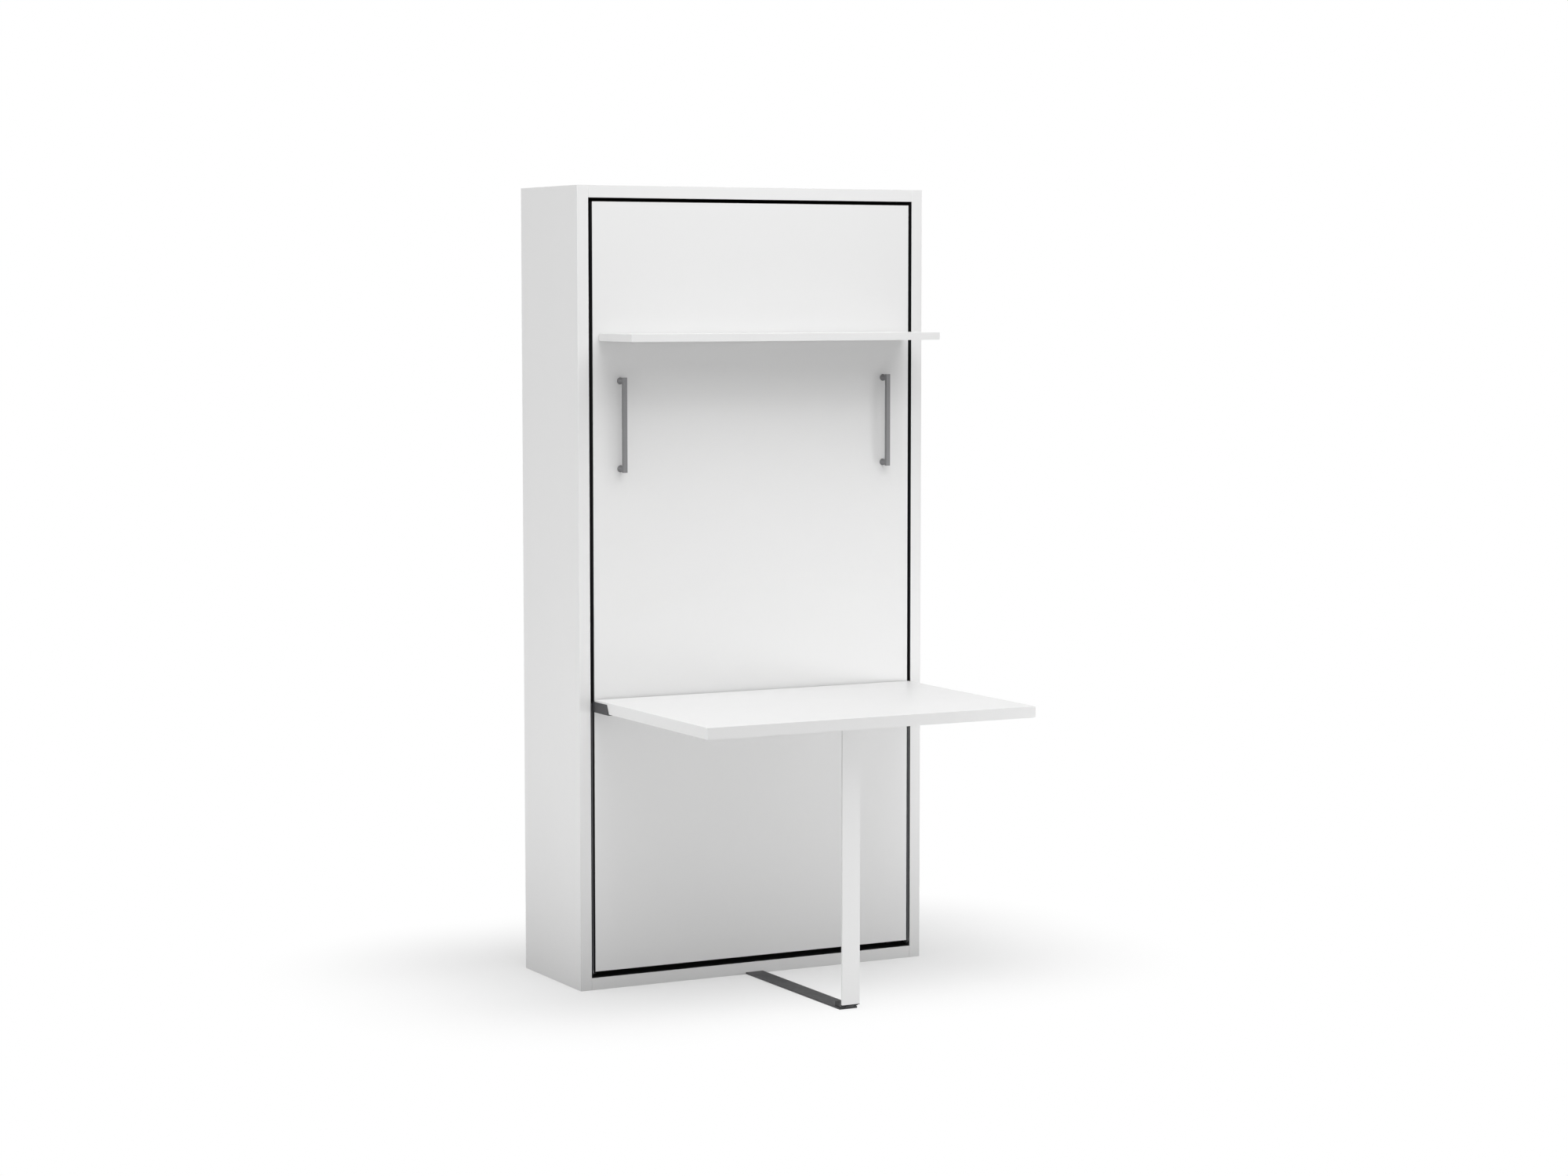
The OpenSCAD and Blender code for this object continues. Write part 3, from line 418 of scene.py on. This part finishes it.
def ticking():
    """Knitted mattress cover: rows of small loops, with a soft sheen."""
    light, dark = (0.80, 0.79, 0.765), (0.70, 0.69, 0.665)
    look = Look("ticking", light, 0.85, Specular_IOR_Level=0.25,
                Sheen_Weight=0.25, Sheen_Roughness=0.5)
    loops = look.math("MULTIPLY", look.bands(1.7 * MM, "Z"), look.bands(1.3 * MM, "X"))
    shade = look.noise(25, detail=4)
    tone = look.blend(look.spread(shade, 0, 0.5), light, dark)
    look.color(look.blend(look.spread(loops, 0, 0.35), dark, tone))
    look.bump(loops, 0.35 * MM, 0.6)
    look.bump(look.noise(320, detail=3), 0.15 * MM, 0.4)
    return look


def border_cloth():
    """The mattress's border: a knit with ribs across it, a little greyer than its faces."""
    look = Look("border_cloth", (0.62, 0.62, 0.61), 0.85,
                Specular_IOR_Level=0.25, Sheen_Weight=0.25)
    facing = look.axes("Normal")
    across, along = (look.math("ABSOLUTE", facing[axis]) for axis in ("X", "Z"))
    at_end = look.math("GREATER_THAN", along, across)
    ribs = look.mix(at_end, look.bands(4 * MM, "Z"), look.bands(4 * MM, "X"))
    look.color(look.blend(ribs, (0.54, 0.54, 0.53), (0.68, 0.68, 0.665)))
    look.bump(ribs, 0.6 * MM, 0.6)
    look.bump(look.noise(700, detail=2), 0.15 * MM, 0.5)
    return look


def webbing(name, light, dark):
    """Woven polyester: a herringbone of fine slanted ribs."""
    look = Look(name, light, 0.7, Specular_IOR_Level=0.35, Sheen_Weight=0.15)
    slant = math.radians(45)
    left, right = (look.bands(1.6 * MM, "X", turn=(0, turn, 0)) for turn in (slant, -slant))
    weave = look.mix(look.bands(9 * MM, "Z"), right, left)
    look.color(look.blend(weave, dark, light))
    look.bump(weave, 0.3 * MM, 0.7)
    return look


LOOKS = {
    "white_board": white_board(),
    "cabinet_board_painted_shade_inside": cabinet_board_painted_shade_inside(),
    "panel_board_painted_edge_shade": panel_board_painted_edge_shade(),
    "back_board": back_board(),
    "beech": beech(),
    "anthracite_steel": anthracite_steel(),
    "satin_steel": brushed("satin_steel", (0.23, 0.23, 0.235), 0.45, (1, 1, 0.03), 0.7),
    "brushed_leg": leg_steel(),
    "zinc_steel": zinc_steel(),
    "black_steel": black_steel(),
    "black_rubber": moulded("black_rubber", (0.022, 0.022, 0.022), 0.78, 420),
    "black_plastic": moulded("black_plastic", (0.016, 0.016, 0.017), 0.5, 800),
    "gas_black": gas_black(),
    "chrome_rod": chrome_rod(),
    "ticking": ticking(),
    "border_cloth": border_cloth(),
    "edge_tape": webbing("edge_tape", (0.34, 0.345, 0.36), (0.22, 0.225, 0.24)),
    "webbing": webbing("webbing", (0.050, 0.053, 0.060), (0.022, 0.023, 0.027)),
}
# Nodes whose look isn't the one named by their slot
OWN_LOOKS = {
    "side_panel_left": "cabinet_board_painted_shade_inside",
    "side_panel_right": "cabinet_board_painted_shade_inside",
    "top_panel": "cabinet_board_painted_shade_inside",
    "bottom_panel": "cabinet_board_painted_shade_inside",
    "front_panel": "panel_board_painted_edge_shade",
}


def dress(piece, look):
    piece.data.materials.clear()
    piece.data.materials.append(LOOKS[look].material)


# ---- CAD nodes: a material each, and the small roundings of their edges ------------

EDGE_WIDTHS = {
    "white_board": 0.7 * MM,
    "anthracite_steel": 0.5 * MM,
    "satin_steel": 0.8 * MM,
    "brushed_leg": 0.6 * MM,
    "beech": 0.8 * MM,
    "black_plastic": 0.4 * MM,
    "black_rubber": 1.5 * MM,
}
EDGE_ANGLE = math.radians(40)      # least angle of an edge that is rounded
FLAT_ANGLE = math.radians(0.5)     # greatest angle between triangles that are joined
WELD_REACH = 0.01 * MM


def soften_edges(piece, width):
    weld = piece.modifiers.new("join_corners", "WELD")
    weld.merge_threshold = WELD_REACH
    flats = piece.modifiers.new("join_flats", "DECIMATE")
    flats.decimate_type = "DISSOLVE"
    flats.angle_limit = FLAT_ANGLE
    bevel = piece.modifiers.new("round_edges", "BEVEL")
    bevel.width = width
    bevel.segments = 2
    bevel.limit_method = "ANGLE"
    bevel.angle_limit = EDGE_ANGLE
    bevel.harden_normals = True
    bevel.use_clamp_overlap = True


def dress_frame():
    for row in frame["record"]["subparts"]:
        node, slot = row["node"], row["material_slot"]
        piece = frame["nodes"][node]
        dress(piece, OWN_LOOKS.get(node, slot))
        if slot in EDGE_WIDTHS:
            soften_edges(piece, EDGE_WIDTHS[slot])


# ---- mesh helpers -----------------------------------------------------------------


def new_piece(name, points, faces, look, smooth=True):
    """A piece of the scene alone; all of these ride with the bed."""
    mesh = bpy.data.meshes.new(name)
    mesh.from_pydata(points, [], faces)
    mesh.validate()
    piece = bpy.data.objects.new(name, mesh)
    bpy.context.scene.collection.objects.link(piece)
    turn_out(mesh)
    mesh.polygons.foreach_set("use_smooth", [smooth] * len(mesh.polygons))
    dress(piece, look)
    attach(piece, "bed")
    return piece


def turn_out(mesh):
    """Turns all faces outward."""
    work = bmesh.new()
    work.from_mesh(mesh)
    bmesh.ops.recalc_face_normals(work, faces=work.faces)
    work.to_mesh(mesh)
    work.free()


def apply_modifiers(piece):
    graph = bpy.context.evaluated_depsgraph_get()
    made = bpy.data.meshes.new_from_object(piece.evaluated_get(graph))
    piece.modifiers.clear()
    piece.data = made


def ring_faces(lower, upper):
    """Quads between two closed rings of point numbers."""
    count = len(lower)
    for k in range(count):
        n = (k + 1) % count
        yield lower[k], lower[n], upper[n], upper[k]


def skin(rings, closed=True):
    """Points and faces over rings of points; if closed, the last ring joins the first."""
    points = [point for ring in rings for point in ring]
    size = len(rings[0])
    numbers = [range(size * k, size * (k + 1)) for k in range(len(rings))]
    ahead = numbers[1:] + numbers[:1] if closed else numbers[1:]
    faces = [face for pair in zip(numbers, ahead) for face in ring_faces(*pair)]
    return points, faces


# ---- mattress ---------------------------------------------------------------------

QUILT = 12.5 * MM          # spacing of the cover's mesh
DIAMOND = 8                # mesh steps between two lines of stitches
STITCH_DEPTH = 9 * MM      # of the stitches below the tops of the padding
PAD_HEIGHT = 0.5           # share of that depth that the padding rises by
PAD_BEFORE = 0.15          # share of its height that the simulation starts from
PAD_ROUNDING = 0.6         # power that makes it full where there's no simulation
PUFF_DRIFT = 3 * MM        # how far the simulation may move a point sideways
CLOTH_FRAMES = 16
CROWN = 8 * MM             # rise of the middle of the face
CROWN_RUN = 0.6            # distance over which it rises, as a share of half the width
CORNER = 45 * MM           # corner radius of the mattress
CORNER_STEPS = 14
TAPE = 4 * MM              # radius of the tape round its edges
TAPE_IN = 4 * MM           # the tape's centre inside the mattress's side
TAPE_SIDES = 10
WALL_IN = 14 * MM          # depth of the cover's plain wall behind the border
BORDER_IN = 1.2 * MM       # border inside the mattress's side
BORDER_DRAW = 3 * MM       # depth that the border is drawn in by at mid height
BORDER_BACK = 8 * MM       # depth of the border's hidden inner side
BORDER_ROWS = 18
BORDER_CHANNELS = 3
CHANNEL_DEPTH = 2.5 * MM


def round_corner(x, z, half_x, half_z, radius):
    """Moves a point of a rectangle's grid so that the corners become round."""
    over_x, over_z = abs(x) - (half_x - radius), abs(z) - (half_z - radius)
    if over_x <= 0 or over_z <= 0:
        return x, z
    reach = max(over_x, over_z) / math.hypot(over_x, over_z)
    return (
        math.copysign(half_x - radius + over_x * reach, x),
        math.copysign(half_z - radius + over_z * reach, z),
    )


class Mattress:
    """Sizes of the mattress, from its CAD solid: x across, y through, z along."""

    def __init__(self):
        self.low, self.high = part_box("mattress")
        self.middle = (self.low + self.high) / 2
        self.half_x = (self.high.x - self.low.x) / 2
        self.half_z = (self.high.z - self.low.z) / 2
        self.edge_y = self.high.y - CROWN
        self.seams = (self.low.y + TAPE, self.edge_y - TAPE)
        self.columns = 2 * round(self.half_x / QUILT)
        self.rows = 2 * round(self.half_z / QUILT)
        self.face_size = (self.columns + 1) * (self.rows + 1)

    def crown(self, x, z):
        """Share of the crown at a point of the face, 0 at its edge."""
        across = min(1, (self.half_x - abs(x)) / (CROWN_RUN * self.half_x))
        along = min(1, (self.half_z - abs(z)) / (CROWN_RUN * self.half_x))
        return math.sin(math.pi / 2 * across) * math.sin(math.pi / 2 * along)

    def number(self, i, j):
        """A mesh point's place in the list of its face."""
        return j * (self.columns + 1) + i

    def diagonals(self, i, j):
        """A mesh point's steps along the two diagonals, from the middle of the face."""
        i, j = i - self.columns // 2, j - self.rows // 2
        return i + j, i - j

    def stitched(self, i, j):
        """Whether a mesh point lies on a line of the diamond quilting."""
        return any(steps % DIAMOND == 0 for steps in self.diagonals(i, j))

    def padding(self, i, j):
        """Height of the padding at a mesh point: 0 on a stitch, 1 in mid diamond."""
        rising, falling = self.diagonals(i, j)
        return abs(math.sin(math.pi * rising / DIAMOND) * math.sin(math.pi * falling / DIAMOND))

    def on_rim(self, i, j):
        return i in (0, self.columns) or j in (0, self.rows)

    def rim(self):
        """Mesh points of the rim, once round."""
        return (
            [(i, 0) for i in range(self.columns)]
            + [(self.columns, j) for j in range(self.rows)]
            + [(i, self.rows) for i in range(self.columns, 0, -1)]
            + [(0, j) for j in range(self.rows, 0, -1)]
        )

    def face_point(self, i, j, side, padded):
        """A mesh point of the face to lie on (side 1) or of the face on the slats (-1)."""
        x = self.half_x * (2 * i / self.columns - 1)
        z = self.half_z * (2 * j / self.rows - 1)
        rim = self.on_rim(i, j)
        if rim:
            inset, rise = TAPE_IN, -TAPE_IN
        else:
            pad = self.padding(i, j)
            swell = pad ** PAD_ROUNDING if padded else PAD_BEFORE * pad
            inset = 0
            rise = CROWN * self.crown(x, z) + STITCH_DEPTH * (PAD_HEIGHT * swell - 1)
        x, z = round_corner(x, z, self.half_x, self.half_z, CORNER)
        x -= math.copysign(inset, x)
        z -= math.copysign(inset, z)
        if side > 0:
            y = self.edge_y + rise
        elif rim:
            y = self.low.y - rise
        else:
            y = self.low.y + (STITCH_DEPTH - rise) / 2
        return self.middle.x + x, y, self.middle.z + z

    def outline(self, y, inset):
        """Points of the rounded outline at one height, drawn in by inset."""
        radius = CORNER - inset
        points = []
        for quarter in range(4):
            centre_x = (self.half_x - CORNER) * (1 if quarter in (0, 3) else -1)
            centre_z = (self.half_z - CORNER) * (1 if quarter in (0, 1) else -1)
            for k in range(CORNER_STEPS + 1):
                turn = math.pi / 2 * (quarter + k / CORNER_STEPS)
                points.append((
                    self.middle.x + centre_x + radius * math.cos(turn),
                    y,
                    self.middle.z + centre_z + radius * math.sin(turn),
                ))
        return points


def quilted_cover(mattress, padded):
    """Both faces of the mattress and, behind its border, a plain wall between their rims.

    Without a simulation to puff it, the padding is drawn at its full height.
    """
    points, faces = [], []
    for side in (-1, 1):
        points += [mattress.face_point(i, j, side, padded)
                   for j in range(mattress.rows + 1) for i in range(mattress.columns + 1)]
    for base in (0, mattress.face_size):
        for j in range(mattress.rows):
            for i in range(mattress.columns):
                corners = ((i, j), (i + 1, j), (i + 1, j + 1), (i, j + 1))
                faces.append(tuple(base + mattress.number(*at) for at in corners))
    rim = mattress.rim()
    low_rim = [mattress.number(i, j) for i, j in rim]
    rings = [low_rim]
    kept_x, kept_z = 1 - WALL_IN / mattress.half_x, 1 - WALL_IN / mattress.half_z
    middle = mattress.middle
    for side, y in zip((-1, 1), mattress.seams):
        rings.append(range(len(points), len(points) + len(rim)))
        for i, j in rim:
            x, _, z = mattress.face_point(i, j, side, padded)
            points.append((middle.x + (x - middle.x) * kept_x, y,
                           middle.z + (z - middle.z) * kept_z))
    rings.append([mattress.face_size + k for k in low_rim])
    for lower, upper in zip(rings, rings[1:]):
        faces += ring_faces(lower, upper)
    return points, faces


def puff_cover(piece, mattress):
    """Inflates the face to lie on between its stitches, as simulated cloth."""
    rest = np.array([v.co for v in piece.data.vertices])
    free = {
        mattress.face_size + mattress.number(i, j)
        for j in range(1, mattress.rows) for i in range(1, mattress.columns)
        if not mattress.stitched(i, j)
    }
    pins = piece.vertex_groups.new(name="stitches")
    pins.add([k for k in range(len(rest)) if k not in free], 1.0, "REPLACE")
    cloth = piece.modifiers.new("puff", "CLOTH")
    cloth.settings.quality = 5
    cloth.settings.mass = 0.2
    cloth.settings.tension_stiffness = 12
    cloth.settings.compression_stiffness = 12
    cloth.settings.bending_stiffness = 0.4
    cloth.settings.shrink_min = -0.06
    cloth.settings.vertex_group_mass = pins.name
    cloth.settings.use_pressure = True
    cloth.settings.uniform_pressure_force = 4
    cloth.settings.effector_weights.gravity = 0
    cloth.collision_settings.use_collision = False
    cloth.point_cache.frame_start = 1
    cloth.point_cache.frame_end = CLOTH_FRAMES
    for k in range(1, CLOTH_FRAMES + 1):
        bpy.context.scene.frame_set(k)
    apply_modifiers(piece)
    bpy.context.scene.frame_set(1)
    made = np.array([v.co for v in piece.data.vertices])
    made = np.where(np.isfinite(made), made, rest)
    moved = np.clip(made - rest, -STITCH_DEPTH, STITCH_DEPTH)
    moved[:, ::2] = np.clip(moved[:, ::2], -PUFF_DRIFT, PUFF_DRIFT)
    made = rest + moved
    made[:, 1] = np.clip(made[:, 1], mattress.low.y, mattress.high.y)
    piece.data.vertices.foreach_set("co", made.astype(np.float32).ravel())
    piece.data.update()


def add_mattress():
    mattress = Mattress()
    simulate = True
    points, faces = quilted_cover(mattress, padded=not simulate)
    cover = new_piece("mattress_cover", points, faces, "ticking")
    if simulate:
        puff_cover(cover, mattress)
    smooth = cover.modifiers.new("smooth", "SUBSURF")
    smooth.levels = smooth.render_levels = 1
    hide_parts("mattress")
    add_border(mattress)
    for name, y in zip(("mattress_tape_front", "mattress_tape_back"), mattress.seams):
        add_tape(mattress, name, y)


def add_border(mattress):
    """The side wall, drawn in at mid height, with stitched channels along it."""
    front, back = mattress.seams
    rings = []
    for k in range(BORDER_ROWS + 1):
        share = k / BORDER_ROWS
        swell = abs(math.sin(math.pi * share * BORDER_CHANNELS)) ** 0.5
        draw = BORDER_DRAW * math.sin(math.pi * share) + CHANNEL_DEPTH * (1 - swell)
        rings.append(mattress.outline(front + (back - front) * share, BORDER_IN + draw))
    rings += [mattress.outline(y, BORDER_BACK) for y in (back, front)]
    border = new_piece("mattress_border", *skin(rings), "border_cloth")


def add_tape(mattress, name, y):
    """A sewn tape round the edge, as a slim tube along the outline."""
    turns = [2 * math.pi * k / TAPE_SIDES for k in range(TAPE_SIDES)]
    rings = [mattress.outline(y + TAPE * math.sin(turn), TAPE_IN + TAPE * math.cos(turn))
             for turn in turns]
    tape = new_piece(name, *skin(rings), "edge_tape")


# ---- straps -----------------------------------------------------------------------

STRAP_WIDTH = 45 * MM
STRAP_THICK = 2 * MM
STRAP_BEND = 9 * MM
STRAP_PRESS = 3 * MM       # depth that the straps press into the padding
STRAP_STOPS = (0.18, 0.33, 0.48, 0.63, 0.77)    # on the crown, as shares of half its width
RAIL_GAP = 0.3 * MM        # strap to the frame's rail
SIDE_GAP = 1 * MM          # strap to the mattress's side
OVER_TAPE = 0.6 * MM       # strap above the mattress's edge, over the tape
UNDER_BUCKLE = 0.6 * MM    # below the top of the solid strap, which is the thicker one
BUCKLE_RUN = 4 * MM        # straight run outside the buckle
BEND_OVER_SLATS = 8 * MM   # height over the slat holders at which it turns to the rail
RAIL_UNDER_SLATS = 4 * MM  # depth below them at which it reaches the rail


def rounded_path(corners, radius, steps=6):
    """A path past corners (x, y), each cut by a smooth curve."""
    path = [corners[0]]
    for before, at, after in zip(corners, corners[1:], corners[2:]):
        to_before, to_after = before - at, after - at
        cut = min(radius, to_before.length / 2, to_after.length / 2)
        start, end = at + to_before.normalized() * cut, at + to_after.normalized() * cut
        for k in range(steps + 1):
            t = k / steps
            path.append(start * (1 - t) ** 2 + at * 2 * t * (1 - t) + end * t ** 2)
    path.append(corners[-1])
    return path


def strap_path():
    """One side of a strap, from the middle of the bed down to the rail, as (x, y)."""
    low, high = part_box("mattress_straps")
    mattress = Mattress()
    half_thick = STRAP_THICK / 2
    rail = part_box("frame_rail_right")[1].x + half_thick + RAIL_GAP
    side = mattress.half_x + half_thick + SIDE_GAP
    buckle = high.y - half_thick - UNDER_BUCKLE
    tape = mattress.edge_y + half_thick + OVER_TAPE
    slat_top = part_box("slat_holders")[1].y
    corners = [(0, buckle), (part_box("strap_buckles")[1].x + BUCKLE_RUN, buckle)]
    for share in STRAP_STOPS:
        x = share * mattress.half_x
        crowned = mattress.edge_y + CROWN * mattress.crown(x, 0)
        corners.append((x, crowned - STRAP_PRESS + half_thick))
    corners += [(side, tape), (side, slat_top + BEND_OVER_SLATS),
                (rail, slat_top - RAIL_UNDER_SLATS), (rail, low.y)]
    return [Vector(corner) for corner in corners]


def add_strap(name, z):
    """A strap over the whole width, with its middle at z."""
    half = rounded_path(strap_path(), STRAP_BEND)
    path = [Vector((-p.x, p.y)) for p in reversed(half[1:])] + half
    rings = []
    for k, at in enumerate(path):
        ahead = path[min(k + 1, len(path) - 1)] - path[max(k - 1, 0)]
        out = Vector((ahead.y, -ahead.x)).normalized() * (STRAP_THICK / 2)
        corners = ((at + out, -0.5), (at + out, 0.5), (at - out, 0.5), (at - out, -0.5))
        rings.append([(spot.x, spot.y, z + STRAP_WIDTH * share) for spot, share in corners])
    points, faces = skin(rings, closed=False)
    faces += [(0, 1, 2, 3), tuple(len(points) - n for n in (1, 2, 3, 4))]
    strap = new_piece(name, points, faces, "webbing", smooth=False)
    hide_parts("mattress_straps")


def add_straps():
    low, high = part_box("mattress_straps")
    add_strap("mattress_strap_low", low.z + STRAP_WIDTH / 2)
    add_strap("mattress_strap_high", high.z - STRAP_WIDTH / 2)


# ---- stage ------------------------------------------------------------------------

WORLD_LIGHT = (0.22, 0.90)     # of the sky at the horizon and overhead
FLOOR_HALF = 9.0
FLOOR_DROP = 0.5 * MM          # of the floor below the part's feet
FLOOR_COLOR = (0.80, 0.80, 0.80)
FLOOR_DARK = (0.10, 0.10, 0.10)
FLOOR_NEAR = (0.0, 0.7)        # distances over which the light thrown up becomes full
FLOOR_FADE = (0.0, 0.8)        # distances over which the floor turns to plain white
FLOOR_GLOW = 0.35              # share of plain white beside the cabinet
FLOOR_MIRRORED = 0.9           # least share of plain white where the floor is mirrored


def add_world():
    """A sky of graded light on the object, seen as plain white."""
    world = bpy.data.worlds.new("world")
    world.use_nodes = True
    tree = Tree(world.node_tree)
    sky = tree.spread(tree.axes("Generated")["Z"], *WORLD_LIGHT)
    strength = tree.add("ShaderNodeMix", {0: tree.seen(), 2: sky, 3: 1.0}, data_type="FLOAT")
    background = tree.nodes["Background"]
    background.inputs["Color"].default_value = (1, 1, 1, 1)
    tree.links.new(strength.outputs[0], background.inputs["Strength"])
    bpy.context.scene.world = world


def floor_distance(look):
    """Distance of a point of the floor from the cabinet's footprint."""
    where = look.axes()
    squares = []
    for axis, half in (("X", cad_box[1].x), ("Y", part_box("side_panel_left")[1].y)):
        out = look.math("SUBTRACT", look.math("ABSOLUTE", where[axis]), half)
        out = look.math("MAXIMUM", out, 0.0)
        squares.append(look.math("MULTIPLY", out, out))
    return look.math("SQRT", look.math("ADD", *squares))


def floor_material():
    """Pale floor: the light that it throws up is weak near the object, as in its soft
    shadow, and what is seen of it fades to plain white further out."""
    look = Look("floor", FLOOR_COLOR, 0.9)
    distance = floor_distance(look)
    thrown = look.blend(look.ramp(distance, FLOOR_NEAR), FLOOR_DARK, FLOOR_COLOR)
    bounce = look.add("ShaderNodeBsdfDiffuse", {"Color": thrown}).outputs[0]
    shadowed = look.add("ShaderNodeBsdfDiffuse", {"Color": (*FLOOR_COLOR, 1)}).outputs[0]
    white = look.add("ShaderNodeEmission", {"Strength": 1.0}).outputs[0]
    fade = look.ramp(distance, FLOOR_FADE, low=FLOOR_GLOW)
    mirrored = look.add("ShaderNodeLightPath").outputs["Is Glossy Ray"]
    fade = look.math("MAXIMUM", fade, look.math("MULTIPLY", mirrored, FLOOR_MIRRORED))
    shown = look.add("ShaderNodeMixShader", {0: fade, 1: shadowed, 2: white}).outputs[0]
    surface = look.add("ShaderNodeMixShader", {0: look.seen(), 1: bounce, 2: shown}).outputs[0]
    look.links.new(surface, look.nodes["Material Output"].inputs["Surface"])
    look.nodes.remove(look.shader)
    return look.material


def add_floor():
    corners = [(x * FLOOR_HALF, y * FLOOR_HALF, 0)
               for x, y in ((-1, -1), (1, -1), (1, 1), (-1, 1))]
    mesh = bpy.data.meshes.new("floor")
    mesh.from_pydata(corners, [], [(0, 1, 2, 3)])
    mesh.materials.append(floor_material())
    floor = bpy.data.objects.new("floor", mesh)
    bpy.context.scene.collection.objects.link(floor)
    floor.location.z = -FLOOR_DROP


# Soft boxes: place, point that it faces, width, height, spread in degrees, watts
LAMPS = {
    "overhead": ((0.2, -1.7, 3.4), (0.0, -0.5, 0.5), 2.4, 1.2, 180, 24),
    "left": ((-4.6, -0.6, 2.6), (-0.5, 0.0, 1.2), 2.0, 2.6, 180, 50),
    "right_low": ((3.2, -3.0, 0.5), (0.3, 0.0, 0.4), 1.2, 0.8, 40, 2.9),
    "left_low": ((-3.4, -2.0, 0.5), (-0.3, 0.0, 0.4), 1.2, 0.8, 40, 0.8),
    "front_high": ((-0.4, -3.2, 3.6), (0.0, -0.1, 1.3), 2.4, 1.4, 180, 20),
}


def add_lamps():
    for name, (place, target, width, height, spread, power) in LAMPS.items():
        data = bpy.data.lights.new(name, "AREA")
        data.shape = "RECTANGLE"
        data.size, data.size_y = width, height
        data.spread = math.radians(spread)
        data.energy = power
        lamp = bpy.data.objects.new(name, data)
        bpy.context.scene.collection.objects.link(lamp)
        lamp.location = place
        toward = Vector(target) - Vector(place)
        lamp.rotation_euler = toward.to_track_quat("-Z", "Y").to_euler()


bpy.context.scene.view_settings.view_transform = "Standard"
add_camera()
dress_frame()
add_mattress()
add_straps()
add_world()
add_floor()
add_lamps()
